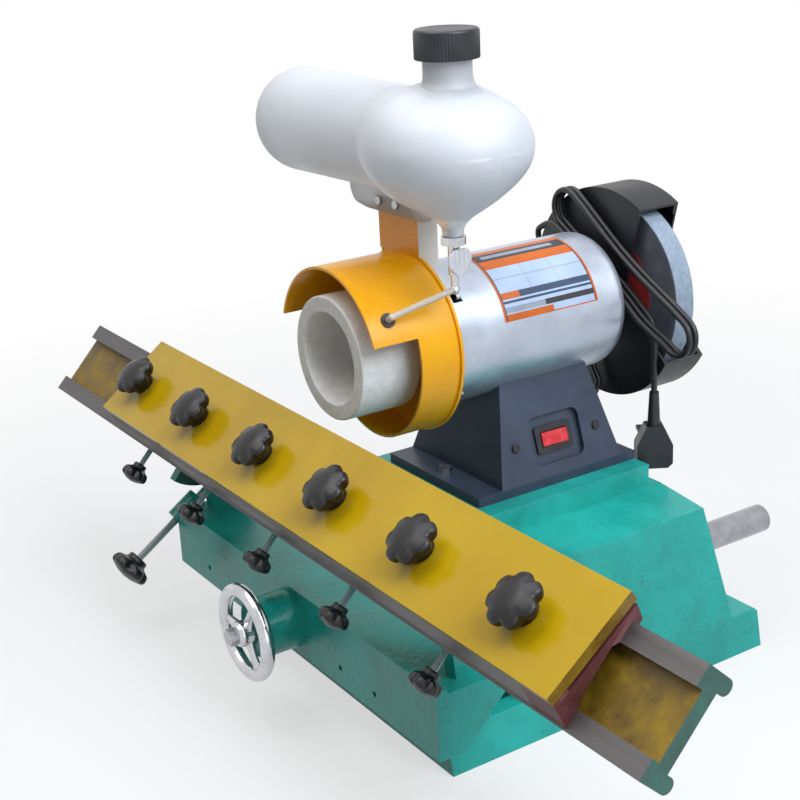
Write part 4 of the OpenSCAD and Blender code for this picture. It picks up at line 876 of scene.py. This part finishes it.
    def build(self, shop: Workshop) -> None:
        """Args:
            shop: the workshop.
        """
        hank = self.hank()
        path = np.concatenate([self.lead(hank[0]), hank, self.tail(hank[-1], hank[-2])]) * MM
        run = np.concatenate([[0], np.cumsum(np.linalg.norm(np.diff(path, axis=0), axis=1))])
        keep = np.concatenate([[True], np.diff(run) > self.least_step * MM])
        path, run = path[keep], run[keep]
        even = np.linspace(0, run[-1], self.rings)
        path = np.stack([np.interp(even, run, path[:, k]) for k in range(3)], -1)
        share = np.interp(even / MM, self.hint_turn, (0.0, 1.0))[:, None]
        hints = (1 - share) * np.array([1.0, 0, 0]) + share * np.array([0, 1.0, 0])
        verts, faces = tube_along(path, self.diameter / 2 * MM, self.sides, hints)
        cord = mesh_object("mains_cord", verts, faces)
        shop.add(cord, (CORD_RUBBER,), "cord_lead", "cord_hank", "cord_tail")
        plug = shop.eased("plug", self.plug_ease, BLACK_PLASTIC)
        shop.dress(CORD_RUBBER, "cord_gland")


@dataclass(frozen=True)
class BedFrame:
    """The tilted bed's frame and the clamp plate's frame on it, in millimetres and degrees."""

    pivot: Point = (0.0, -216.4, 214.2)
    tilt: float = 46.7
    wedge: float = 9.4
    plate: tuple[float, float] = (14.5, 68.3)

    def slope(self, degrees: float) -> tuple[Array, Array]:
        """Directions up a slope and square to it.

        Args:
            degrees: the slope.

        Returns:
            Two unit vectors.
        """
        c, s = math.cos(math.radians(degrees)), math.sin(math.radians(degrees))
        return np.array([0.0, c, s]), np.array([0.0, -s, c])

    def on_bed(self, x: float, s: float, n: float) -> Array:
        """Point from its place along, across and above the bed, in metres."""
        across, out = self.slope(self.tilt)
        return (np.array(self.pivot) + x * np.array([1.0, 0, 0]) + s * across + n * out) * MM

    def on_plate(self, x: float, y: float, z: float) -> Array:
        """Point from its place on the clamp plate's top, in metres."""
        across, out = self.slope(self.tilt - self.wedge)
        return self.on_bed(x, *self.plate) + (y * across + z * out) * MM

    def above_bed(self, points: Array) -> tuple[Array, Array]:
        """Places of points across and above the bed.

        Args:
            points: points in metres, (n, 3).

        Returns:
            Across and above, in millimetres.
        """
        across, out = self.slope(self.tilt)
        local = points / MM - np.array(self.pivot)
        return local @ across, local @ out


BED = BedFrame()


@dataclass
class Castings:
    """Base, beam and bed: enamelled iron with its corners eased, and what sits in them."""

    base_ease: float = 3.0
    beam_ease: float = 2.5
    bed_ease: float = 1.2
    screw_ease: float = 0.7
    rail_top: float = 42.0
    rail_h: float = 8.0
    rail_in: float = 28.5
    near: float = 0.5
    panel_x: float = 40.0
    panel_z: tuple[float, float] = (200.0, 300.0)
    rod_x: float = 145.0
    rod_z: float = 118.0
    rod_r: float = 15.0
    rod_ends: tuple[float, float] = (-244.0, 247.0)
    rod_round: float = 1.2
    rod_rim: float = 2.0
    beam_deep: float = 96.0
    beam_row: float = 3.0
    beam_back: float = 296.5

    def bed_finish(self, centres: Array, normals: Array) -> Array:
        """Number of the finish of each face of the bed: enamel, ground rail top, channel or end darkened as painted
        shade.

        Args:
            centres: face centres, (n, 3).
            normals: face normals, (n, 3).

        Returns:
            0, 1, 2 or 3 for each face.
        """
        across, above = BED.above_bed(centres)
        up = normals @ BED.slope(BED.tilt)[1]
        rail = (above > self.rail_top - self.near) & (up > FLAT)
        floor = self.rail_top - self.rail_h - self.near
        channel = (np.abs(across) < self.rail_in + self.near) & (above > floor) & ~rail
        # Faces that look along X, the bed's ends, get the enamel darkened as painted shade.
        return np.select([np.abs(normals[:, 0]) > FLAT, rail, channel], [3, 1, 2], 0)

    def screw_finish(self, centres: Array, normals: Array) -> Array:
        """Number of the finish of each screw's faces: the two on the switch panel are black."""
        x, z = centres[:, 0] / MM, centres[:, 2] / MM
        return ((x > self.panel_x) & (z > self.panel_z[0]) & (z < self.panel_z[1])).astype(int)

    def rods(self, shop: Workshop) -> None:
        """Turn the guide rods: an even radius along Y that rounds off at the ends.

        The beam was enamelled with its rods in. So a face is enamel where its height less
        its Y is past the line of the beam's sloping back, and ground steel elsewhere.

        Args:
            shop: the workshop.
        """
        start, r, length = self.rod_ends[0], self.rod_r, self.rod_ends[1] - self.rod_ends[0]
        flat = r - self.rod_rim
        ends = rounded([(0, 0), (flat, 0), (r, 0), (r, length), (flat, length), (0, length)], self.rod_round)
        along = np.arange(self.beam_row, self.beam_deep, self.beam_row)
        middle = np.stack([np.full(len(along), r), along], -1)
        half = len(ends) // 2
        points, faces = lathe(np.concatenate([ends[:half], middle, ends[half:]]), ROUND)
        pair = [(carry(frame_matrix((x, start, self.rod_z), (0, 1, 0)), points), faces)
                for x in (-self.rod_x, self.rod_x)]
        points, faces = joined(pair)
        centres = points[faces].mean(axis=1)
        numbers = (centres[:, 2] - centres[:, 1] > self.beam_back).astype(int)
        piece = mesh_object("guide_rods_turned", points * MM, faces, numbers=numbers)
        shop.add(piece, (ROD_STEEL, CAST_ENAMEL), "guide_rods")

    def build(self, shop: Workshop) -> None:
        """Ease and finish the castings and the pieces seated in them.

        Args:
            shop: the workshop.
        """
        shop.eased("base_casting", self.base_ease, CAST_ENAMEL)
        shop.eased("front_beam", self.beam_ease, CAST_ENAMEL)
        shop.eased("bed", self.bed_ease, CAST_ENAMEL, RAIL_STEEL, DIRTY_CHANNEL, SHADED_END_ENAMEL, choose=self.bed_finish)
        self.rods(shop)
        shop.eased("pan_head_screws", self.screw_ease, TURNED_STEEL, BLACK_PAINT, choose=self.screw_finish)
        shop.dress(BUSH_BRONZE, "rod_bushes", "feed_nut")
        shop.dress(TURNED_STEEL, "pivot_pins", "feed_screw", "handwheel_nut", "pedestal_bolts")


@dataclass(frozen=True)
class LobedKnob:
    """A moulded hand knob: a round neck that flares into lobes under a domed crown.

    The radius at each height is drawn in between the lobes by a share that grows from
    nothing at the neck to its full depth at the rim. Sizes in millimetres.
    """

    diameter: float
    height: float
    lobes: int
    neck_r: float
    neck_h: float
    valley: float = 0.24
    edge: float = 3.5
    shaft_r: float = 0.0
    shaft_from: float = 0.0
    lobe_steps: int = 16

    def surface(self) -> tuple[Array, Array, Array]:
        """Points, faces and finish numbers of the knob, standing on local z = 0.

        Returns:
            Points in metres, faces, and 0 for plastic or 1 for the shaft.
        """
        r, h, dome = self.diameter / 2, self.height, 0.19 * self.height
        flare = self.neck_h + 0.14 * h
        knob = rounded([(self.shaft_r, 0), (self.neck_r, 0), (self.neck_r, self.neck_h), (0.92 * r, flare),
                        (r, flare + 0.20 * h), (0.99 * r, h - dome - 0.7 * self.edge), (0.90 * r, h - dome),
                        (0.46 * r, h - 0.25 * dome), (0.0, h)], self.edge, 6)
        rows, steps = knob, self.lobe_steps * self.lobes
        if self.shaft_r:
            stem = np.array([(0, self.shaft_from), (0.8 * self.shaft_r, self.shaft_from),
                             (self.shaft_r, self.shaft_from + 0.4), (self.shaft_r, 0)], float)
            rows = np.concatenate([stem, knob])
        points, faces = lathe(rows, steps, self.swell)
        numbers = np.repeat((np.arange(len(rows) - 1) < len(rows) - len(knob)).astype(int), steps)
        return points * MM, faces, numbers

    def swell(self, radius: Array, height: Array, angle: Array) -> Array:
        """Radius drawn in between the lobes, by narrow valleys that run out towards the crown.

        Args:
            radius: the turned radius.
            height: height above the foot.
            angle: angle round the axis.

        Returns:
            The radius with its lobes.
        """
        r, low = self.diameter / 2, 0.8 * self.neck_r
        t = np.clip((radius - low) / (r - low), 0, 1)
        between = 0.5 - 0.5 * np.cos(self.lobes * angle)
        crown = 1 - 0.75 * np.clip((height / self.height - 0.55) / 0.4, 0, 1)
        return radius * (1 - self.valley * crown * t * t * (3 - 2 * t) * between**2.4)

    def make(self, name: str, matrix: Array) -> bpy.types.Object:
        """Make the knob in a frame.

        Args:
            name: the piece's name.
            matrix: the frame that it stands in.

        Returns:
            The knob.
        """
        points, faces, numbers = self.surface()
        return mesh_object(name, carry(matrix, points), faces, numbers=numbers)


@dataclass
class KnifeCarriage:
    """Carriage, clamp plate, studs and the knobs on the bed."""

    star: LobedKnob = LobedKnob(49, 28, 7, 13, 8)
    small: LobedKnob = LobedKnob(30, 22, 6, 7.5, 5.5, 0.24, 2.4, 3.0, -41.0)
    lock: LobedKnob = LobedKnob(48, 26, 5, 12, 6.5, 0.28, 3.5, 4.0, -114.5)
    ease: float = 1.0
    front_share: float = 0.75
    bare_end: float = 0.415
    star_first: float = -300.0
    star_step: float = 137.0
    star_y: float = -4.0
    star_gap: float = 0.2
    small_step: float = 143.6
    small_s: float = -65.7
    small_n: float = 24.5
    lock_at: Point = (-263.0, -263.1, 111.3)
    lock_slope: float = 34.3
    lock_out: float = 49.0

    def carriage_finish(self, centres: Array, normals: Array) -> Array:
        """Number of the finish of each face of the carriage: its front edge is ground bare but for its end.

        Args:
            centres: face centres, (n, 3).
            normals: face normals, (n, 3).

        Returns:
            0 for primer or 1 for steel.
        """
        front = normals @ BED.slope(BED.tilt)[0] < -self.front_share
        return (front & (centres[:, 0] < self.bare_end)).astype(int)

    def plate_finish(self, centres: Array, normals: Array) -> Array:
        """Number of the finish of each face of the clamp plate: its two ends are darkened as painted shade."""
        return (np.abs(normals[:, 0]) > FLAT).astype(int)

    def build(self, shop: Workshop) -> None:
        """Ease and finish the carriage group and make its knobs.

        Args:
            shop: the workshop.
        """
        shop.eased("carriage", self.ease, RED_PRIMER, RAIL_STEEL, choose=self.carriage_finish, cut_x=self.bare_end)
        shop.eased("clamp_plate", self.ease, PLATE_ENAMEL, SHADED_PLATE_END, choose=self.plate_finish)
        shop.dress(TURNED_STEEL, "clamp_studs")
        out = BED.slope(BED.tilt - BED.wedge)[1]
        for i in range(6):
            foot = BED.on_plate(self.star_first + i * self.star_step, self.star_y, self.star_gap)
            knob = self.star.make(f"star_grip_{i + 1}", frame_matrix(foot, out))
            shop.add(knob, (KNOB_PLASTIC,), f"star_knob_{i + 1}")
        across = BED.slope(BED.tilt)[0]
        for i in range(5):
            foot = BED.on_bed((i - 2) * self.small_step, self.small_s, self.small_n)
            knob = self.small.make(f"adjust_grip_{i + 1}", frame_matrix(foot, -across))
            shop.add(knob, (KNOB_PLASTIC, ZINC_PLATE), f"adjust_screw_{i + 1}")
        along = BED.slope(self.lock_slope)[0]
        foot = (np.array(self.lock_at) - self.lock_out * along) * MM
        knob = self.lock.make("lock_grip", frame_matrix(foot, -along))
        shop.add(knob, (KNOB_PLASTIC, ZINC_PLATE), "lock_screw")


@dataclass
class Handwheel:
    """Plated handwheel: a round rim, a turned hub and three flat spokes that swell at the hub."""

    centre: Point = (0.0, -318.2, 104.0)
    rim_at: float = 12.0
    rim_r: float = 43.0
    rim_half: float = 7.0
    hub_r: float = 13.0
    hub_l: float = 22.0
    bore_r: float = 6.05
    spokes: int = 3
    first_spoke: float = 60.0
    spoke_from: float = 9.0
    spoke_short: float = 2.0
    spoke_wide: Point = (4.6, 3.4, 2.0)
    spoke_thick: tuple[float, float] = (3.6, 2.4)
    oval: float = 0.7

    def rim(self) -> Surface:
        """Torus: a small circle turned about the wheel's axis."""
        t = np.linspace(0, 2 * np.pi, 25)
        ring = np.stack([self.rim_r + self.rim_half * np.cos(t), self.rim_at + self.rim_half * np.sin(t)], -1)
        return lathe(ring, 72)

    def hub(self) -> Surface:
        """Hub: a rounded profile with its bore, turned about the axis."""
        r, end, bore = self.hub_r, self.hub_l, self.bore_r
        ring = rounded([(bore, end / 2), (bore, 0), (0.82 * r, 0), (r, 0.18 * end), (r, 0.82 * end),
                        (0.82 * r, end), (bore, end), (bore, end / 2)], 1.5)
        return lathe(ring, 48)

    def spoke(self, turn: float) -> Surface:
        """Spoke: a flat oval whose width narrows from the hub and widens again at the rim.

        Args:
            turn: the spoke's angle in degrees.

        Returns:
            Points and faces.
        """
        u = np.linspace(0, 1, 14)[:, None]
        t = np.linspace(0, 2 * np.pi, 20, endpoint=False)[None]
        reach = self.spoke_from + u * (self.rim_r - self.spoke_from - self.spoke_short) + 0 * t
        wide = self.spoke_wide[0] + self.spoke_wide[1] * (1 - u) ** 3 + self.spoke_wide[2] * u**4
        thick = self.spoke_thick[0] - self.spoke_thick[1] * u * (1 - u)
        side, depth = (k * np.sign(f(t)) * np.abs(f(t)) ** self.oval for k, f in ((wide, np.cos), (thick, np.sin)))
        c, s = math.cos(math.radians(turn)), math.sin(math.radians(turn))
        points = np.stack([reach * c - side * s, reach * s + side * c, depth + self.rim_at], -1)
        return points.reshape(-1, 3), grid_faces(u.size, t.size)

    def build(self, shop: Workshop) -> None:
        """Make the wheel as one casting.

        Args:
            shop: the workshop.
        """
        spokes = [self.spoke(self.first_spoke - 360 * i / self.spokes) for i in range(self.spokes)]
        points, faces = joined([self.rim(), self.hub()] + spokes)
        matrix = frame_matrix(np.array(self.centre) * MM, (0, 1, 0))
        wheel = mesh_object("handwheel_plated", carry(matrix, points * MM), faces)
        shop.add(wheel, (BRIGHT_PLATE,), "handwheel")


@dataclass
class GrinderHead:
    """Motor, wheels, guards, pedestal and switch."""

    axis_z: float = 360.0
    motor_r: float = 71.4
    fold_low: float = 452.0
    sheet_ease: float = 0.5
    wheel_ease: float = 1.5
    ease: float = 2.0
    label_y: tuple[float, float] = (-34.0, 83.0)
    label_lift: float = 0.25
    label_step: float = 3.0
    label_rows: tuple[float, ...] = (90, 84, 80.5, 76, 72.5, 63, 62, 51.2, 50.4, 39, 38, 32.5, 31, 29, 26, 21.5, 20.5,
                                     16, 15)
    label_columns: tuple[float, ...] = (0, 0.02, 0.03, 0.10, 0.22, 0.36, 0.365, 0.45, 0.52, 0.66, 0.665, 0.86, 0.97,
                                        0.98, 1)

    def label_ink(self, a: Array, u: Array) -> Array:
        """Ink of each cell of the label, which has bands and blank panels but no lettering.

        Args:
            a: angle of the cell's middle round the motor, in degrees.
            u: its share of the way along the label.

        Returns:
            0 orange, 1 black, 2 pale, 3 navy or 4 grey.
        """
        edge = (u < 0.02) | (u > 0.98) | (a > 88) | (a < 16)
        line = (u < 0.03) | (u > 0.97)
        panel = (a < 62) & (a > 39)
        rule = panel & ((np.abs(u - 0.3625) < 0.003) | (np.abs(u - 0.6625) < 0.003) | (np.abs(a - 50.8) < 0.5))
        title = (a < 84) & (a > 72.5)
        strip = (a < 80.5) & (a > 76) & (u > 0.10) & (u < 0.86)
        stripe = (a < 38) & (a > 32.5)
        rules = (a < 31) & (a > 29)
        dark = (a < 26) & (a > 21.5)
        foot = a < 20.5
        return np.select(
            [edge, line & (a < 84), strip, title, rule, panel, stripe & (u < 0.22), stripe, rules, dark & (u > 0.45),
             dark, foot & (u > 0.52), foot, a > 62],
            [0, 1, 4, 1, 4, 2, 0, 3, 3, 1, 4, 2, 0, 0], 2)

    def label(self, shop: Workshop) -> None:
        """Printed label: a sheet of cells that follows the motor's round side.

        Args:
            shop: the workshop.
        """
        rows = np.concatenate([np.linspace(a, b, int((a - b) / self.label_step) + 2)[:-1]
                               for a, b in zip(self.label_rows[:-1], self.label_rows[1:])] + [[self.label_rows[-1]]])
        columns = np.array(self.label_columns)
        a, u = np.meshgrid(np.radians(rows), columns, indexing="ij")
        r = self.motor_r + self.label_lift
        y = self.label_y[0] + u * (self.label_y[1] - self.label_y[0])
        points = np.stack([r * np.cos(a), y, self.axis_z + r * np.sin(a)], -1).reshape(-1, 3) * MM
        middle = np.meshgrid((rows[1:] + rows[:-1]) / 2, (columns[1:] + columns[:-1]) / 2, indexing="ij")
        sheet = mesh_object("motor_label", points, grid_faces(len(rows), len(columns), wrap=False),
                            self.label_ink(*middle).ravel())
        shop.add(sheet, LABEL_INKS, body="base", slot="label_paper")

    def wheel_finish(self, centres: Array, normals: Array) -> Array:
        """Number of the finish of each face of the straight wheel: its flat sides are darkened as painted shade."""
        return (np.abs(normals[:, 1]) > FLAT).astype(int)

    def guard_finish(self, centres: Array, normals: Array) -> Array:
        """Number of the finish of each face of the cup guard: the outer faces of the bracket's folds are pale, a
        painted highlight.
        """
        return ((np.abs(normals[:, 0]) > FLAT) & (centres[:, 2] > self.fold_low * MM)).astype(int)

    def build(self, shop: Workshop) -> None:
        """Ease and finish the grinder.

        Args:
            shop: the workshop.
        """
        shop.eased("pedestal", self.ease, SLATE_PAINT)
        shop.dress(SILVER_LACQUER, "motor_housing", "front_end_cap", "rear_end_cap", "run_capacitor")
        shop.dress(CORE_IRON, "stator_core", "rotor")
        shop.dress(COIL_COPPER, "stator_windings")
        shop.dress(TURNED_STEEL, "bearings", "spindle_shaft", "wheel_flanges", "arbor_nuts")
        shop.eased("cup_wheel", self.ease, WHITE_CORUNDUM)
        shop.eased("grinding_wheel", self.wheel_ease, GREY_CORUNDUM, SHADED_SIDE_CORUNDUM, choose=self.wheel_finish)
        shop.dress(LABEL_RED, "wheel_labels")
        shop.eased("cup_guard", self.sheet_ease, HOOD_ENAMEL, LIT_FOLD_PAINT, segments=2, choose=self.guard_finish)
        for node in ("wheel_guard", "wheel_guard_cover"):
            shop.eased(node, self.sheet_ease, BLACK_PAINT, segments=2)
        shop.dress(BLACK_PLASTIC, "switch_bezel")
        shop.dress(SWITCH_RED, "switch_rocker")
        self.label(shop)


@dataclass
class CoolantSet:
    """Tank, cap, tap and drip tube. Sizes in millimetres."""

    bulb: Point = (100.0, -114.0, 562.0)
    bulb_rings: Outline = (
        (0, -68.5), (9, -67.5), (20, -60), (42, -45), (60, -29.3), (71.2, -14.2), (75, 3), (72, 17.2), (64, 30),
        (52, 39.5), (40, 45.5), (31, 50), (25.5, 55), (12, 56.6), (0, 57))
    bulb_r: float = 75.0
    ring_level: float = 3.0
    lobe_x: float = -152.0
    lobe_r: float = 52.0
    waist_r: float = 49.5
    side_blend: float = 50.0
    top_blend: float = 9.0
    blend_lift: float = 0.4
    barrel_end: tuple[float, float] = (72.0, 112.0)
    rows: int = 150
    columns: int = 120
    crowd: float = 0.12
    neck_r: float = 22.0
    neck_top: float = 83.0
    outlet_r: float = 10.0
    outlet_low: float = -78.0
    mould_round: float = 5.0
    tab: Outline = ((-84, -42), (-84, -62), (-76.5, -73.3), (-54, -77), (45, -77), (60, -69.5), (60, -42))
    tab_y: tuple[float, float] = (5.0, 11.0)
    cap_r: float = 29.0
    cap_low: float = 79.0
    cap_h: float = 26.0
    ribs: int = 60
    rib_deep: float = 0.8
    rib_steps: int = 8
    turn_z: float = -100.0
    wing_edge: Outline = ((0, -13), (4, -12.6), (9, -8.5), (12.4, -3), (13, 2), (12, 6.5), (8.5, 10.6), (4, 11),
                          (0, 11.05))
    wing_x: float = 9.0
    wing_half: float = 2.0
    flute_step: float = 5.2
    flute_deep: float = 0.35
    stem_r: float = 2.4
    tap_ease: float = 0.6

    def bulb_reach(self, x: Array, t: Array) -> Array:
        """Distance from the long axis to the bulb's skin, along the ray at angle t in the plane at x.

        A point of the ray is inside the bulb where its distance from the upright axis is
        less than the ring's radius at its height; the last such point is the skin.

        Args:
            x: place along the tank, (n, 1).
            t: angle from the Y axis, (1, m).

        Returns:
            The distance, (n, m), zero where the ray misses the bulb.
        """
        rings = smooth_path(np.array([(r, z, 0.0) for r, z in self.bulb_rings]), 12)[:, :2]
        d = np.linspace(0, 80, 481)[None, None]
        y, z = d * np.cos(t)[..., None], d * np.sin(t)[..., None] + self.ring_level
        inside = (x[..., None] - self.bulb[0]) ** 2 + y**2 < np.interp(z, rings[:, 1], rings[:, 0], 0, 0) ** 2
        return np.max(np.where(inside, d, 0.0), axis=2)

    def gourd(self) -> Surface:
        """Body: about the long axis, the greater of the bulb's reach and a tapered, round-ended barrel.

        Where the two are closer than a blend width, a quarter of the square of what is left
        of that width, over the width, fills the corner between them.

        Returns:
            Points about the bulb's centre line and faces.
        """
        lo, hi = self.lobe_x - self.lobe_r, self.bulb[0] + self.bulb_r
        u = np.linspace(0, 1, self.rows)
        x = (lo + (hi - lo) * (u - self.crowd * np.sin(2 * np.pi * u)))[:, None]
        t = np.linspace(0, 2 * np.pi, self.columns, endpoint=False)[None]
        ball = np.sqrt(np.maximum(self.lobe_r**2 - np.minimum(x - self.lobe_x, 0) ** 2, 0))
        taper = self.waist_r + (self.lobe_r - self.waist_r) * np.clip(x / self.lobe_x, 0, 1)
        past = np.interp(x, self.barrel_end, (0.0, 1.0))
        barrel = np.where(x < self.lobe_x, ball, taper) * np.sqrt(1 - past**2)
        level = self.ring_level * np.sin(t)
        barrel = np.maximum(np.sqrt(np.maximum(barrel**2 - (self.ring_level * np.cos(t)) ** 2, 0)) - level, 0)
        bulb = self.bulb_reach(x, t)
        side = self.side_blend * np.abs(np.cos(t)) * (1 + self.blend_lift * np.sin(t))
        width = side + self.top_blend * np.abs(np.sin(t))
        near = np.maximum(width - np.abs(barrel - bulb), 0) * (np.minimum(barrel, bulb) > 0)
        r = np.maximum(barrel, bulb) + near**2 / (4 * width)
        r[[0, -1]] = 0
        points = np.stack([x + 0 * t, r * np.cos(t), r * np.sin(t) + self.ring_level], -1).reshape(-1, 3)
        return points, grid_faces(self.rows, self.columns)

    def tab_plate(self) -> Surface:
        """Fixing tab: an outline carried through the plate's thickness, with its rims eased.

        Returns:
            Points about the tank's axis and faces.
        """
        ring = rounded(list(self.tab) + [self.tab[0]], 6.0)[:-1]
        middle = ring.mean(0)
        inset = ring + (middle - ring) / np.linalg.norm(middle - ring, axis=1, keepdims=True)
        y0, y1 = self.tab_y
        heart = 0 * ring + middle
        rows = [(heart, y0), (inset, y0), (ring, y0 + 1), (ring, y1 - 1), (inset, y1), (heart, y1)]
        points = np.concatenate([np.stack([p[:, 0], np.full(len(p), y), p[:, 1]], -1) for p, y in rows])
        return points, grid_faces(len(rows), len(ring))

    def wing(self) -> Surface:
        """Tap's wing: at each height an oval as wide as the wing there, with upright flutes in both faces.

        The half thickness falls with the fifth power of the share of the half width, and
        a cosine over the width takes the flutes out of it.

        Returns:
            Points about the tap's turning axis, x out of the tap, and faces.
        """
        edge = smooth_path(np.array([(w, z, 0.0) for w, z in self.wing_edge]), 8)
        t = np.linspace(0, 2 * np.pi, 96, endpoint=False)[None]
        wide, z = edge[:, :1] + 0.01, edge[:, 1:2]
        y = wide * np.cos(t)
        share = np.abs(np.cos(t)) ** 5
        flute = self.flute_deep * (0.5 + 0.5 * np.cos(2 * np.pi * y / self.flute_step))
        half = np.minimum(self.wing_half, 0.5 * wide)
        x = half * np.sign(np.sin(t)) * np.sqrt(1 - share) * (1 - flute)
        points = np.stack([x + self.wing_x, y, z + 0 * t], -1).reshape(-1, 3)
        return points, grid_faces(len(edge), t.shape[1])

    def ribbed(self, radius: Array, height: Array, angle: Array) -> Array:
        """Radius of the cap with upright ribs on its outer wall.

        Args:
            radius: the turned radius.
            height: height above the cap's foot.
            angle: angle round the axis.

        Returns:
            The radius with its ribs.
        """
        wall = np.clip((radius - self.cap_r + 2) / 2, 0, 1) * np.clip((self.cap_h - 3 - height) / 2, 0, 1)
        return radius - wall * self.rib_deep * (0.5 - 0.5 * np.cos(self.ribs * angle)) ** 0.7

    def build(self, shop: Workshop) -> None:
        """Make the tank and its cap and finish the tap.

        Args:
            shop: the workshop.
        """
        r, top, o, low = self.neck_r, self.neck_top, self.outlet_r, self.outlet_low
        neck = rounded([(r - 3, top - 25), (r - 3, top), (r, top), (r, 64), (r + 1, 59), (r + 4, 54),
                        (r + 8, 49)], self.mould_round)
        spout = rounded([(o - 3, low + 20), (o - 3, low), (o, low), (o, -71), (o + 3, -66.5), (o + 10, -59.6),
                         (o + 22, -50)], self.mould_round)
        lift = np.array([0, self.bulb[1], self.bulb[2]])
        at_bulb = np.array(self.bulb)
        parts = ((self.gourd(), lift), (lathe(neck, ROUND), at_bulb), (lathe(spout, ROUND), at_bulb),
                 (self.tab_plate(), lift))
        points, faces = joined([(points + shift, faces) for (points, faces), shift in parts])
        tank = mesh_object("tank_moulding", points * MM, faces)
        shop.add(tank, (TANK_POLY,), "coolant_tank")
        h, c = self.cap_h, self.cap_r
        side = rounded([(0, 4.4), (c - 4, 4.4), (c - 4, 0), (c, 0), (c, h - 2.0), (c - 2, h), (c - 5, h - 0.5),
                        (0, h - 0.5)], 1.2)
        cap_p, cap_f = lathe(side, self.rib_steps * self.ribs, self.ribbed)
        cap = mesh_object("filler_cap_ribbed", (cap_p + at_bulb + [0, 0, self.cap_low]) * MM, cap_f)
        shop.add(cap, (BLACK_PLASTIC,), "tank_cap")
        shop.eased("drip_valve", self.tap_ease, BRIGHT_PLATE, segments=2)
        stem = np.array([(0, 0.5), (self.stem_r, 0.5), (self.stem_r, self.wing_x), (0, self.wing_x)], float)
        rod_p, rod_f = lathe(stem, 24)
        points, faces = joined([self.wing(), (rod_p[:, [2, 0, 1]], rod_f)])
        handle = mesh_object("tap_wing", (points + at_bulb + [0, 0, self.turn_z]) * MM, faces)
        shop.add(handle, (ZINC_PLATE,), "valve_handle")
        shop.dress(CLEAR_VINYL, "drip_tube")
        shop.dress(CORD_RUBBER, "hood_grommet")


def main() -> None:
    """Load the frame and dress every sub-assembly."""
    logging.basicConfig(level=logging.INFO, format="%(name)s %(message)s")
    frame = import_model()
    studio = Photographer()
    for step in (studio.set_camera, studio.set_room, studio.set_lamps, studio.set_floor):
        step()
    record = frame["record"]
    bodies = {node: body for body, group in record["behaviour"]["bodies"].items() for node in group}
    shop = Workshop(frame["nodes"], bodies, {row["node"]: row["material_slot"] for row in record["subparts"]})
    for part in (MainsCord(), Castings(), KnifeCarriage(), Handwheel(), GrinderHead(), CoolantSet()):
        part.build(shop)


if __name__ == "__main__":
    main()
